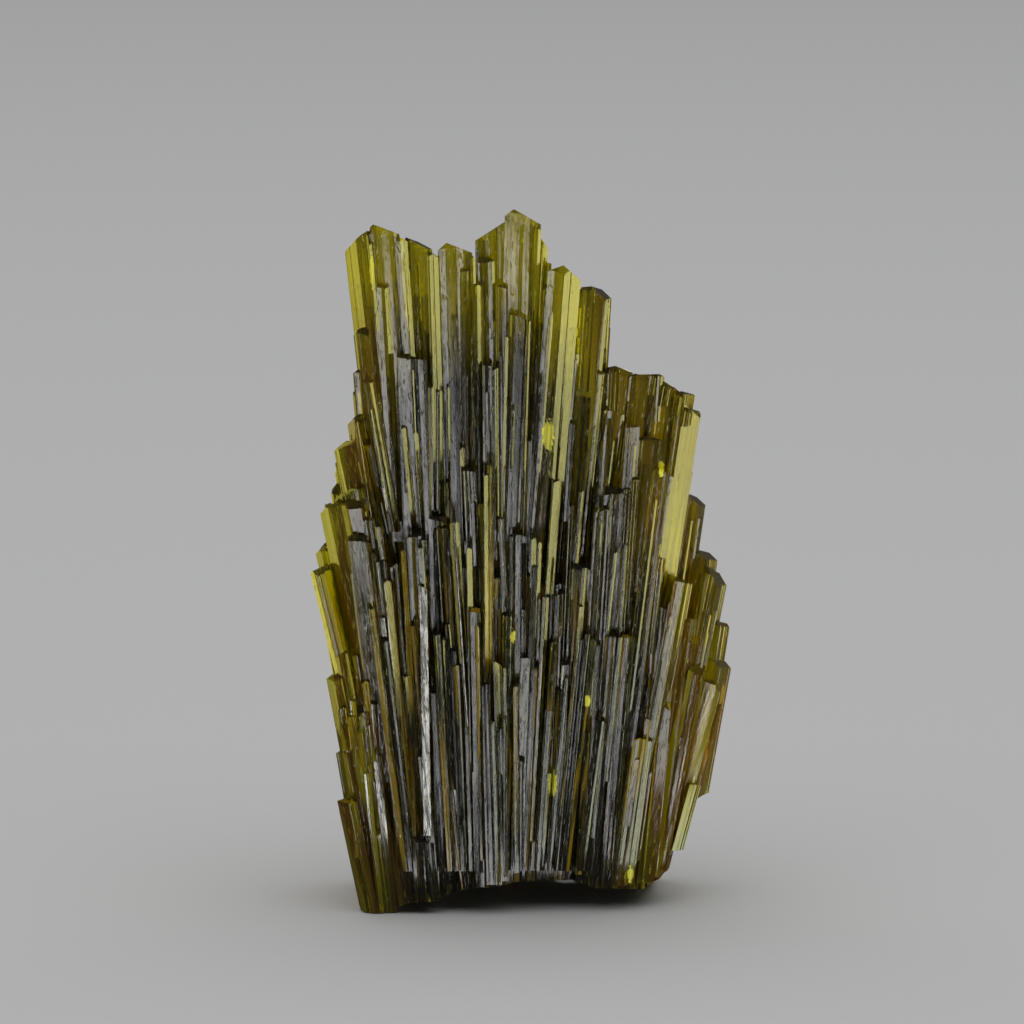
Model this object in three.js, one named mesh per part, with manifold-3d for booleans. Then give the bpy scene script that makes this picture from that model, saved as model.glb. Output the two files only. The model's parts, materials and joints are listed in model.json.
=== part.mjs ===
// A fan-shaped cluster of epidote crystals, broken off its rock at the foot and standing on the break.
// About two hundred prisms have grown into each other, so the cluster is one solid: tall crystals form
// the crown, and shorter ones stand in front of and behind them like organ pipes.
// Millimetres, +Z up, the front of the cluster towards -Y, the origin in the middle of its foot.
import * as THREE from "three";
import { mergeVertices } from "three/addons/utils/BufferGeometryUtils.js";
import Module from "manifold-3d";

const wasm = await Module();
wasm.setup();

// The front drawing: crystals are placed on a sheet, in millimetres across and down from its top left
// corner, at real size. It shows the cluster from the front, looking down on it a little.
const SHEET_MIDDLE = 51.5; // across: the middle of the cluster
const SHEET_GROUND = 89.9; // down: a point on the ground, straight below the middle of the depth
const LOOK_DOWN = THREE.MathUtils.degToRad(9.5);
const VIEW_DISTANCE = 1000; // from the eye to the middle of the cluster
const BOX_MIDDLE = { x: 0.1, y: 0.77 }; // where the middle of the whole cluster's box comes out

// The habit of an epidote prism: its side faces meet its front face at this angle.
const BEVEL_ANGLE = THREE.MathUtils.degToRad(56);
const BEVEL_DEPTH = Math.tan(BEVEL_ANGLE); // depth of a side face for each millimetre of its width
const BACK_TAPER = 0.22; // how much narrower a prism is at its back, as a share of its width
const TIP_BACK_SLOPE = 0.12; // end faces fall away to the back by this much for each millimetre

// The fan: every crystal that no row places by hand points away from one point on the sheet.
const FAN_POINT = [49.2, 155.5];
const FOOT_DOWN = 93; // a crystal that runs down to this place on the sheet reaches past the ground
const DEPTH_FAN = 0.004; // how fast depths grow towards the top, for each millimetre up the sheet
const DEPTH_LEVEL = 62; // where on the sheet the depths in the rows below are true

const CRYSTAL_COLOUR = 0x5c5a14; // pistachio green going to olive brown
const CRYSTAL_ROUGHNESS = 0.25;

// A small random number generator with a fixed seed, so that every run gives the same cluster.
let seed = 20;
function chance() {
  seed = (Math.imul(seed, 1664525) + 1013904223) >>> 0;
  return seed / 4294967296;
}
function between(low, high) {
  return low + (high - low) * chance();
}

// The point of the cluster that is seen at (across, down) on the sheet. level is its depth there, or
// what that would be at DEPTH_LEVEL, because the crystals fan out a little to the front and back too.
function fromSheet(across, down, level) {
  const depth = level * (1 + (DEPTH_LEVEL - down) * DEPTH_FAN);
  const nearer = 1 + depth / VIEW_DISTANCE;
  const rise = (SHEET_GROUND - down) * nearer;
  return new THREE.Vector3(
    (across - SHEET_MIDDLE) * nearer,
    depth,
    (rise - depth * Math.sin(LOOK_DOWN)) / Math.cos(LOOK_DOWN),
  );
}

// The cross-section of a prism: x across, y from the front face back. left and right are its side
// faces' shares of its width. With no side face, the front face ends in a sharp edge.
function section(wide, thick, left, right) {
  const l = left * wide;
  const r = right * wide;
  const deep = Math.max(thick, Math.max(l, r) * BEVEL_DEPTH + 0.3);
  const half = wide / 2;
  const back = half - BACK_TAPER * wide;
  const outline = [[-back, deep], [-half, l * BEVEL_DEPTH]];
  if (l > 0) outline.push([-half + l, 0]);
  if (r > 0) outline.push([half - r, 0]);
  outline.push([half, r * BEVEL_DEPTH], [back, deep]);
  return new THREE.Shape(outline.map(([x, y]) => new THREE.Vector2(x, y)));
}

function solidOf(geometry) {
  const bare = geometry.clone();
  bare.deleteAttribute("normal");
  bare.deleteAttribute("uv");
  const merged = mergeVertices(bare, 1e-5);
  return new wasm.Manifold(
    new wasm.Mesh({
      numProp: 3,
      vertProperties: merged.attributes.position.array,
      triVerts: new Uint32Array(merged.index.array),
    }),
  );
}

// Cuts away what lies beyond a plane through point, on the side that outwards points to.
function cutBeyond(solid, outwards, point) {
  const inwards = outwards.clone().normalize().negate();
  return solid.trimByPlane(inwards.toArray(), inwards.dot(point));
}

// One prism. top and low are [across, down] on the sheet, the middle of its highest and lowest ends.
// front is the level of its front face. turn rotates it to face right, in degrees. tip says where
// across the width its two end faces meet, from 0 to 1, and how far they fall to its edges.
function crystal(top, low, wide, front, options = {}) {
  const { thick = 1.2 + wide, left = 0, right = 0, turn = 0, tip = [0.5, 0.15, 0.2] } = options;
  const head = fromSheet(top[0], top[1], front);
  const foot = fromSheet(low[0], low[1], front);
  const along = head.clone().sub(foot);
  const length = along.length();
  along.normalize();
  const across = new THREE.Vector3(1, 0, 0).addScaledVector(along, -along.x).normalize();
  const back = along.clone().cross(across);
  const spin = THREE.MathUtils.degToRad(turn);
  const a = across.clone().applyAxisAngle(along, spin);
  const b = back.clone().applyAxisAngle(along, spin);
  const spare = wide + 1.5;
  const prism = new THREE.ExtrudeGeometry(section(wide, thick, left, right), {
    depth: length + 2 * spare,
    bevelEnabled: false,
  });
  const start = foot.clone().addScaledVector(along, -spare);
  prism.applyMatrix4(new THREE.Matrix4().makeBasis(a, b, along).setPosition(start));
  let solid = solidOf(prism);
  const [apex, leftFall, rightFall] = tip;
  const ridge = head.clone().addScaledVector(a, (apex - 0.5) * wide);
  const leftRun = Math.max(apex * wide, 0.02);
  const rightRun = Math.max((1 - apex) * wide, 0.02);
  if (apex > 0.02) {
    const face = along.clone().addScaledVector(a, -leftFall / leftRun).addScaledVector(b, TIP_BACK_SLOPE);
    solid = cutBeyond(solid, face, ridge);
  }
  if (apex < 0.98) {
    const face = along.clone().addScaledVector(a, rightFall / rightRun).addScaledVector(b, TIP_BACK_SLOPE);
    solid = cutBeyond(solid, face, ridge);
  }
  return cutBeyond(solid, new THREE.Vector3(0, 0, -1), foot);
}

const pieces = [];
function grow(...row) {
  pieces.push(crystal(...row));
}

// The crown: the tallest crystals, from left to right.
function growCrown() {
  grow([35.4, 23.0], [38.8, 54], 2.9, -3.2, { thick: 6, left: 0.3, turn: -10, tip: [1, 2.1, 0] });
  grow([38.4, 22.3], [40.8, 54], 3.0, -3.6, { thick: 6, turn: 3, tip: [0.15, 0.4, 1.2] });
  grow([38.3, 28.2], [39.6, 52], 1.3, -4.3, { right: 0.35, tip: [0.3, 0.1, 0.4] });
  grow([40.3, 24.1], [41.3, 40], 0.9, -4.3, { thick: 2.5, right: 0.45, tip: [0.3, 0.1, 0.5] });
  grow([41.6, 23.6], [43.0, 54], 2.5, -2.8, { thick: 5.5, turn: -6, tip: [0, 0, 1.4] });
  grow([43.3, 24.9], [43.8, 41], 1.2, -4.5, { thick: 3, left: 0.3, right: 0.5, tip: [0.05, 0.1, 0.8] });
  grow([45.5, 24.2], [46.4, 58], 3.4, -3.4, { thick: 6.5, turn: 2, tip: [0.25, 0.8, 1.1] });
  grow([46.5, 26.8], [46.7, 48], 1.0, -4.2, { thick: 2 });
  grow([47.7, 28.2], [48.1, 53], 0.9, -5.0, { thick: 2.5, left: 0.3, right: 0.5, tip: [0.3, 0.2, 0.3] });
  grow([49.5, 22.1], [50.0, 54], 4.0, -2.6, { thick: 5.5, turn: -4, tip: [0.78, 2.0, 0.1] });
  grow([48.5, 25.5], [48.9, 54], 1.4, -3.7, { thick: 3, tip: [0.3, 0.1, 0.3] });
  grow([50.2, 28.2], [50.2, 53], 1.2, -4.6, { thick: 3, left: 0.25, tip: [0.5, 0.4, 0.3] });
  grow([52.3, 20.9], [51.6, 54], 3.6, -3.7, { thick: 6.5, turn: 4, tip: [0.25, 0.7, 1.5] });
  grow([53.8, 22.6], [52.8, 44], 0.7, -4.2, { thick: 3, right: 0.5, tip: [0.1, 0.1, 0.4] });
  grow([54.4, 23.9], [54.0, 32], 0.85, -2.6, { thick: 3, right: 0.5, tip: [0.2, 0.1, 0.9] });
  grow([54.4, 26.2], [53.3, 50], 1.4, -2.4, { thick: 4, turn: -8, tip: [0.8, 0.3, 0.1] });
  grow([56.5, 26.4], [54.0, 59.3], 3.3, -4.8, { thick: 6.5, right: 0.5, turn: -2, tip: [0.45, 0.7, 1.4] });
  grow([59.3, 28.6], [57.6, 56], 2.7, -2.5, { thick: 5.5, turn: -8, tip: [0.4, 0.2, 1.3] });
  grow([60.6, 29.9], [59.8, 38], 0.55, -3.1, { thick: 3, right: 0.6, tip: [0.4, 0.1, 0.3] });
  grow([60.1, 36.9], [58.2, 56.2], 0.7, -4.2, { thick: 3, left: 0.2, right: 0.5 });
  grow([61.7, 36.5], [60.4, 57], 2.7, -2.5, { thick: 6, turn: -6, tip: [0.4, 0.3, 0.5] });
  grow([64.7, 37.2], [62.2, 60], 3.2, -3.0, { thick: 6.5, turn: 4, tip: [0.9, 0.3, 0.2] });
  grow([67.2, 37.6], [64.2, 60], 3.0, -3.5, { thick: 6.5, turn: -5, tip: [0, 0, 1.7] });
  grow([69.0, 39.9], [65.3, 65.2], 2.4, -3.9, { thick: 5.5, right: 0.72, turn: 10, tip: [0, 0, 1.6] });
}

// The flutes: slender crystals that stand against the crown, with their tops lower down.
function growFlutes() {
  grow([36.2, 32.6], [37.4, 43], 1.3, -3.9, { tip: [0.4, 0.3, 0.3] });
  grow([35.9, 36.8], [36.4, 43], 1.2, -3.6, { tip: [0.4, 0.4, 0.3] });
  grow([35.7, 38.9], [36.2, 45], 0.9, -3.4, { left: 0.4 });
  grow([36.9, 37.9], [39.5, 53], 1.1, -4.8, { thick: 3, right: 0.4, tip: [0.6, 0.2, 0.1] });
  grow([41.2, 35.3], [42.1, 57], 2.9, -5.0, { thick: 5, turn: 3, tip: [0.3, 0.2, 0.5] });
  grow([40.4, 42.5], [41.4, 52.8], 0.65, -5.8, { turn: 16 });
  grow([43.2, 38.4], [43.4, 52], 0.75, -5.2, { left: 0.2, right: 0.5 });
  grow([44.0, 38.8], [44.0, 52], 0.6, -5.0, { right: 0.5 });
  grow([48.7, 36.0], [48.9, 66], 0.9, -5.2, { thick: 3 });
  grow([49.5, 36.4], [49.6, 52.8], 0.6, -5.6, { right: 0.5 });
  grow([51.8, 31.1], [50.8, 53.2], 1.8, -5.0, { thick: 4, left: 0.2, tip: [0.2, 0.1, 0.7] });
  grow([57.2, 42.0], [56.6, 52], 0.8, -3.9, { turn: -6 });
  grow([61.5, 43.6], [60.9, 48.6], 0.75, -4.6, { turn: 18, tip: [0.8, 0.6, 0] });
  grow([65.2, 43.4], [63.6, 59], 3.1, -4.8, { thick: 5, turn: -2, tip: [0.3, 0.5, 0.4] });
  grow([66.1, 46.5], [62.5, 75.6], 1.7, -6.2, { thick: 4.5, turn: 3, tip: [0.4, 0.4, 0.6] });
  grow([63.6, 47.5], [62.6, 63], 0.8, -5.6, { turn: 10 });
  grow([66.2, 55.5], [65.2, 65.2], 0.6, -6.2, { right: 0.5 });
}

// The left shoulder: stout yellow-green crystals that lean out and end in stepped heads.
function growLeftShoulder() {
  grow([35.4, 41.3], [37.0, 54], 1.9, -3.8, { thick: 5, left: 0.5, turn: -8, tip: [0.7, 1.0, 0.1] });
  grow([34.6, 43.9], [37.4, 57], 3.4, -4.4, { thick: 6, left: 0.2, turn: -10, tip: [0.45, 0.9, 0.1] });
  grow([34.7, 48.7], [37.0, 60], 3.0, -5.8, { thick: 6, turn: -6, tip: [0.6, 0.7, 0.2] });
  grow([33.0, 50.1], [37.2, 71], 3.2, -7.2, { thick: 6.5, left: 0.4, turn: -10, tip: [0.45, 0.9, 0.1] });
  grow([35.2, 49.7], [37.2, 62], 2.0, -7.0, { turn: 4, tip: [0.3, 0.1, 0.4] });
  grow([31.9, 54.7], [35.6, 71], 1.2, -5.6, { thick: 5, left: 0.6, tip: [0.6, 0.4, 0.1] });
  grow([31.3, 56.4], [35.2, 72.4], 2.3, -6.2, { thick: 6, left: 0.5, turn: -16, tip: [0.9, 0.7, 0] });
  grow([36.8, 51.3], [37.8, 60], 1.1, -7.4, { tip: [0.3, 0.2, 0.4] });
  grow([37.7, 51.9], [38.6, 60], 0.9, -8.2, { left: 0.4, tip: [0.7, 0.4, 0.1] });
  grow([35.7, 53.0], [38.9, 78], 2.0, -8.4, { thick: 5, turn: 5, tip: [0.4, 0.2, 0.6] });
  grow([36.6, 53.8], [38.9, 70], 0.8, -8.0, { turn: -4 });
  grow([38.0, 55.5], [40.1, 78], 0.95, -8.4, { thick: 3 });
  grow([38.7, 57.7], [41.0, 82], 0.7, -9.2, { thick: 3, turn: 14 });
  grow([39.7, 55.9], [41.1, 74], 0.55, -8.4, { right: 0.5 });
  grow([41.5, 52.9], [42.4, 72], 1.7, -8.0, { thick: 4, tip: [0.6, 0.4, 0.3] });
  grow([42.1, 54.2], [42.5, 60], 0.7, -9.0, { right: 0.4, tip: [0.5, 0.2, 0.4] });
  grow([42.3, 58.1], [42.7, 83.4], 0.65, -9.8, { thick: 2.5, turn: 18, tip: [0.1, 0.1, 0.5] });
}

// The middle of the front: long thin pipes, with a hollow band of broken ones to their right.
function growFrontPipes() {
  grow([43.8, 51.3], [44.8, 89], 1.9, -7.0, { thick: 5, tip: [0.3, 0.1, 0.1] });
  grow([43.9, 52.4], [44.5, 62], 0.55, -8.2, { turn: 18 });
  grow([44.5, 52.4], [45.9, 78], 0.6, -8.0, { turn: 8 });
  grow([45.4, 51.8], [47.3, 80], 0.9, -9.2, { thick: 3, left: 0.25, right: 0.4, tip: [0.6, 0.2, 0.1] });
  grow([46.9, 54.4], [47.3, 76], 0.6, -9.3, { turn: 16 });
  grow([47.5, 60.4], [48.1, 88.6], 1.0, -9.9, { thick: 3, turn: 4, tip: [0.5, 0.1, 0.1] });
  grow([46.9, 46.5], [47.4, 58], 1.2, -6.2, { thick: 4, turn: -3 });
  grow([48.5, 68.0], [49.1, 88.4], 0.85, -9.5, { thick: 3, tip: [0.9, 0.4, 0.1] });
  grow([50.1, 51.4], [50.6, 62], 0.6, -6.8, { turn: -6 });
  grow([49.7, 65.7], [49.9, 73], 0.8, -10.4, { thick: 3, turn: 16, tip: [0.1, 0, 0.6] });
  grow([49.4, 71.7], [49.9, 88.4], 0.6, -10.7, { thick: 3, turn: 14 });
  grow([50.0, 72.3], [50.4, 88.0], 0.9, -10.2, { thick: 3 });
  grow([51.6, 68.0], [51.7, 87.2], 0.6, -9.7, { thick: 3, turn: 4 });
  grow([52.1, 75.5], [52.0, 87.0], 0.8, -9.2, { thick: 3 });
  grow([52.0, 53.0], [51.9, 70], 1.3, -6.9, { thick: 3, turn: 5, tip: [0.3, 0.1, 0.5] });
  grow([53.4, 53.4], [53.3, 58.5], 0.55, -7.8, { turn: 18 });
  grow([54.6, 59.3], [53.3, 84], 0.6, -8.0, { thick: 3, right: 0.4 });
  grow([56.0, 59.0], [55.0, 86], 0.9, -7.0, { thick: 4, turn: -4 });
  grow([54.7, 77.0], [54.2, 86.6], 0.6, -8.4, { right: 0.3 });
  grow([56.6, 65.8], [55.6, 86.8], 0.8, -7.8, { thick: 3, turn: -6 });
}

// The right of the front: crystals that lean out to the right, up to the white one at the foot.
function growRightFront() {
  grow([58.2, 48.7], [57.5, 57], 0.55, -6.4, { right: 0.5 });
  grow([59.7, 50.6], [58.9, 64], 0.6, -6.6, { right: 0.5 });
  grow([57.8, 56.1], [56.8, 80], 1.1, -7.2, { thick: 4, turn: -3 });
  grow([58.5, 56.4], [57.1, 74], 0.55, -7.7, { right: 0.5 });
  grow([60.4, 50.5], [58.4, 84], 1.0, -6.6, { thick: 4, turn: 4 });
  grow([61.4, 48.4], [59.4, 82], 1.9, -5.6, { thick: 4.5, turn: -4 });
  grow([62.8, 48.5], [61.4, 72], 1.1, -5.4, { thick: 4, turn: -8 });
  grow([59.6, 64.0], [58.4, 87], 0.8, -7.8, { thick: 4, turn: 5 });
  grow([58.8, 72.8], [57.9, 87.4], 0.6, -8.6, { turn: 12 });
  grow([61.2, 63.2], [59.3, 87.6], 1.3, -7.6, { thick: 4.5 });
  grow([62.8, 63.2], [60.7, 88], 1.4, -7.3, { thick: 4.5, turn: -6 });
  grow([68.1, 57.6], [64.5, 77], 0.95, -6.8, { thick: 4, turn: 5, tip: [0.3, 0.1, 0.1] });
  grow([64.4, 73.6], [62.4, 88.6], 2.0, -7.3, { thick: 4.5, turn: 18, tip: [0.3, 0.3, 0.3] });
  grow([65.9, 68.5], [63.6, 86], 0.9, -6.2, { thick: 4 });
}

// The right flank: thin amber crystals one behind the other.
function growRightFlank() {
  grow([69.2, 49.3], [67.4, 62], 1.8, -2.4, { thick: 4, tip: [0.1, 0, 1.0] });
  grow([69.8, 54.6], [65.8, 80], 2.4, -3.0, { thick: 5, turn: 6, tip: [0.3, 0.1, 0.9] });
  grow([71.7, 56.1], [67.0, 80], 1.9, -2.2, { thick: 5, turn: 8, tip: [0, 0, 2.0] });
  grow([71.5, 62.0], [69.8, 73], 1.1, -1.2, { thick: 4, tip: [0.5, 0.4, 0.6] });
  grow([71.5, 65.8], [69.0, 80], 1.3, -1.6, { thick: 4, tip: [0.2, 0.1, 0.8] });
  grow([71.5, 68.0], [66.7, 86.4], 1.7, -2.4, { thick: 5, turn: 8, tip: [0.4, 0.3, 1.2] });
  grow([69.7, 66.5], [66.0, 87.2], 1.5, -3.6, { thick: 5, turn: 4 });
  grow([68.4, 61.5], [65.2, 87.8], 1.4, -4.4, { thick: 5, turn: -3 });
  grow([67.2, 63.5], [64.4, 88.4], 1.3, -5.2, { thick: 5, turn: 3 });
  grow([69.7, 78.3], [67.9, 85.1], 1.25, -3.8, { thick: 3, right: 0.4, turn: 10 });
  grow([66.6, 70.0], [64.9, 88.2], 1.2, -5.8, { thick: 4 });
}

// The foot on the left: rough amber crystals over broad grey ones, down to the ground.
function growLeftFoot() {
  grow([34.0, 64.9], [35.6, 74], 1.4, -7.0, { left: 0.3, tip: [0.8, 0.7, 0.1] });
  grow([33.2, 67.2], [35.2, 78], 1.7, -7.0, { thick: 5, left: 0.5, tip: [0.4, 0.4, 0.2] });
  grow([35.9, 70.3], [37.3, 78], 2.3, -8.8, { thick: 4, tip: [0.6, 0.4, 0.5] });
  grow([34.1, 74.8], [36.5, 89], 1.5, -6.8, { thick: 4, left: 0.5, tip: [0.5, 0.3, 0.1] });
  grow([36.3, 73.5], [39.3, FOOT_DOWN], 3.0, -8.2, { thick: 6, turn: -6, tip: [0.7, 0.3, 0.5] });
  grow([37.6, 75.0], [39.4, FOOT_DOWN], 0.8, -8.9, { tip: [0.2, 0.1, 0.6] });
  grow([34.1, 79.7], [36.9, FOOT_DOWN], 1.5, -8.4, { thick: 6, left: 0.4, turn: -12, tip: [0.5, 0.2, 0.1] });
  grow([35.1, 79.9], [37.7, FOOT_DOWN], 0.8, -9.2, { thick: 4, right: 0.3 });
  grow([36.6, 77.0], [38.2, FOOT_DOWN], 0.6, -9.2, { right: 0.3 });
  grow([38.5, 66.6], [40.3, FOOT_DOWN], 0.8, -8.8, { thick: 4, turn: 12 });
  grow([39.6, 69.0], [41.2, FOOT_DOWN], 1.8, -8.0, { thick: 5, turn: 3 });
  grow([38.0, 82.8], [39.3, FOOT_DOWN], 1.9, -8.9, { thick: 4, tip: [0.3, 0.3, 0.5] });
  grow([40.2, 83.4], [40.9, FOOT_DOWN], 1.7, -9.2, { thick: 4, turn: 3, tip: [0.5, 0.5, 0.3] });
  grow([42.2, 83.4], [42.8, FOOT_DOWN], 2.2, -9.6, { thick: 4.5, turn: 4, tip: [0.6, 0.3, 0.2] });
  grow([43.9, 68.8], [44.9, 89.8], 1.7, -8.0, { thick: 5, turn: -4 });
  grow([45.4, 70.2], [46.1, 89.4], 1.0, -8.4, { thick: 4, turn: 5 });
  grow([45.2, 78.5], [46.5, 88.9], 0.7, -9.3, { turn: 8 });
}

// Outlines of the cluster on the sheet: how high it reaches at each place across, and how far its
// left and right edges lie across at each place down.
const SKYLINE = [
  [31.0, 60], [32.5, 53], [34.2, 46], [35.0, 27], [38.0, 24.5], [43.0, 26.5], [47.5, 27],
  [51.5, 23.5], [54.0, 26.5], [57.5, 30], [59.8, 33], [61.5, 39], [66.5, 41], [69.0, 46], [70.8, 62],
];
const LEFT_EDGE = [[24, 34.6], [36, 35.8], [44, 33.6], [50, 31.9], [57, 31], [64, 32.6], [80, 34.2], [90, 36.6]];
const RIGHT_EDGE = [[30, 60.2], [38, 66.5], [41, 69], [50, 69], [57, 71], [68, 71.2], [80, 68.6], [90, 66]];

function outlineAt(outline, place) {
  const last = outline.length - 1;
  const next = Math.min(Math.max(outline.findIndex((point) => point[0] >= place), 1), last);
  const [x0, y0] = outline[next - 1];
  const [x1, y1] = outline[next];
  return THREE.MathUtils.mapLinear(THREE.MathUtils.clamp(place, x0, x1), x0, x1, y0, y1);
}

// A crystal that no row places by hand: it points away from the fan point and is rooted in the foot.
function growFromFan(across, down, wide, depth, options) {
  const reach = (FAN_POINT[1] - FOOT_DOWN) / (FAN_POINT[1] - down);
  const footAcross = FAN_POINT[0] + (across - FAN_POINT[0]) * reach;
  grow([across, down], [footAcross, FOOT_DOWN], wide, depth, {
    left: between(0.16, 0.3),
    right: between(0.16, 0.3),
    tip: [between(0.2, 0.8), between(0.2, 1.2), between(0.2, 1.2)],
    ...options,
  });
}

// The heart of the cluster, which holds everything together, and the crystals of its back.
const LAYERS = [
  { depth: -1.8, thick: 5.5, below: 1.6, wide: 3.6, count: 8, from: 36.4, to: 68.4 },
  { depth: 1.0, thick: 5.0, below: 4.5, wide: 3.7, count: 8, from: 36.0, to: 68.6 },
  { depth: 3.6, thick: 4.5, below: 12, wide: 3.3, count: 9, from: 36.0, to: 68.6 },
  { depth: 6.2, thick: 4.6, below: 22, wide: 3.3, count: 8, from: 36.8, to: 67.6 },
];
function growBack() {
  for (const layer of LAYERS) {
    for (let i = 0; i < layer.count; i += 1) {
      const share = (i + between(0.35, 0.65)) / layer.count;
      const across = THREE.MathUtils.lerp(layer.from, layer.to, share);
      const half = layer.wide / 2;
      const highest = Math.max(outlineAt(SKYLINE, across - half), outlineAt(SKYLINE, across + half));
      const down = highest + layer.below * between(0.6, 1.3) + 0.7;
      growFromFan(across, down, layer.wide * between(0.85, 1.3), layer.depth, {
        thick: layer.thick * between(0.85, 1.15),
        turn: between(-10, 10),
      });
    }
  }
}

// The flanks: crystals that face left and right, lower towards the back.
const FLANKS = [
  { edge: LEFT_EDGE, inwards: 0.5, turn: -76, high: 30 },
  { edge: RIGHT_EDGE, inwards: -0.5, turn: 76, high: 42 },
];
const FLANK_DEPTHS = [-1.2, 1.4, 4, 6.6, 9];
function growFlanks() {
  for (const flank of FLANKS) {
    FLANK_DEPTHS.forEach((depth, i) => {
      for (const lower of i % 2 === 0 ? [0, 22] : [11]) {
        const down = flank.high + lower + i * 4 + between(-3, 5);
        const across = outlineAt(flank.edge, down) + flank.inwards * (1 + i * 0.35);
        growFromFan(across, down, between(1.8, 3), depth, { thick: 4, turn: flank.turn + between(-9, 9) });
      }
    });
  }
}

// Broad crystals inside, behind the front ones, that carry the front down to the foot.
function growHeart() {
  const rows = [
    { across: 35.6, down: 60, foot: 38.6, wide: 3.6, front: -5.4 },
    { across: 38.5, down: 56, foot: 40.0, wide: 5.0, front: -6.0 },
    { across: 42.5, down: 57, foot: 43.2, wide: 4.6, front: -6.4 },
    { across: 46.8, down: 56, foot: 47.2, wide: 5.0, front: -6.6 },
    { across: 51.0, down: 57, foot: 51.0, wide: 5.0, front: -6.4 },
    { across: 55.5, down: 58, foot: 54.6, wide: 5.2, front: -5.8 },
    { across: 60.0, down: 56, foot: 58.6, wide: 5.2, front: -5.2 },
    { across: 64.6, down: 60, foot: 62.2, wide: 4.6, front: -4.4 },
  ];
  for (const row of rows) {
    grow([row.across, row.down], [row.foot, FOOT_DOWN], row.wide, row.front, {
      thick: 11,
      tip: [0.5, 0.6, 0.6],
    });
  }
}

growHeart();
growBack();
growFlanks();
growCrown();
growFlutes();
growLeftShoulder();
growFrontPipes();
growRightFront();
growRightFlank();
growLeftFoot();

// The break at the foot, as it is seen from the front: from [across, down] to [across, down] on the
// sheet. The cluster stands on all of its left side and on the back of its right side, and between
// them the break arches up.
const BREAK = [
  [39.4, 96], [39.7, 90.7], [41, 90.2], [43.6, 90.1], [44.4, 89.5], [46.4, 88.9], [50, 88.7],
  [51.4, 88.2], [57.2, 88.0], [59.6, 88.9], [64.2, 89.0], [66, 88.1], [67, 86.9], [67.4, 85.2],
  [73, 84.4], [73, 96],
];
const BREAK_REACH = 20; // how far in front of and behind the middle the break is cut
function breakSolid() {
  const sight = new THREE.Vector3(0, Math.cos(LOOK_DOWN), -Math.sin(LOOK_DOWN));
  const up = new THREE.Vector3(0, Math.sin(LOOK_DOWN), Math.cos(LOOK_DOWN));
  const corners = BREAK.map(([x, y]) => new THREE.Vector2(x - SHEET_MIDDLE, SHEET_GROUND - y));
  const cut = new THREE.ExtrudeGeometry(new THREE.Shape(corners), {
    depth: 2 * BREAK_REACH,
    bevelEnabled: false,
  });
  cut.translate(0, 0, -BREAK_REACH);
  const towardsEye = sight.clone().negate();
  cut.applyMatrix4(new THREE.Matrix4().makeBasis(new THREE.Vector3(1, 0, 0), up, towardsEye));
  return solidOf(cut);
}

// Everything that grew together is one solid, without the small gaps that are closed in inside it.
function joined(solids) {
  const above = wasm.Manifold.union(solids).trimByPlane([0, 0, 1], 0);
  const bodies = above.subtract(breakSolid()).decompose();
  return bodies.reduce((largest, body) => (body.volume() > largest.volume() ? body : largest));
}

function meshOf(solid, name, material) {
  const { vertProperties, triVerts, numProp } = solid.getMesh();
  const corners = new Float32Array(triVerts.length * 3);
  triVerts.forEach((vertex, i) => {
    corners.set(vertProperties.subarray(vertex * numProp, vertex * numProp + 3), i * 3);
  });
  const geometry = new THREE.BufferGeometry();
  geometry.setAttribute("position", new THREE.BufferAttribute(corners, 3));
  geometry.computeVertexNormals();
  const mesh = new THREE.Mesh(geometry, material);
  mesh.name = name;
  return mesh;
}

const crystalMaterial = new THREE.MeshStandardMaterial({
  color: CRYSTAL_COLOUR,
  roughness: CRYSTAL_ROUGHNESS,
  metalness: 0,
  flatShading: true,
});
const cluster = new THREE.Group();
cluster.name = "epidote_cluster";
const crystals = meshOf(joined(pieces), "crystals", crystalMaterial);
crystals.position.set(-BOX_MIDDLE.x, -BOX_MIDDLE.y, 0);
cluster.add(crystals);

export default cluster;
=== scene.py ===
# %% [markdown]
# # Epidote crystal cluster
#
# Epidote grows as long striated prisms, and here some hundreds of them have grown into one fan,
# broken off its rock at the foot. It is modelled the way it grew: each crystal is its own ribbed
# prism with slanted end faces, and all of them are then united into one closed solid that light
# can pass through.
#
# The imported model comes first. It fixes the size and the place of everything.

# %% Load the frame
import json
import math
import random
import bmesh
import bpy
from mathutils import Matrix, Vector

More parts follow.
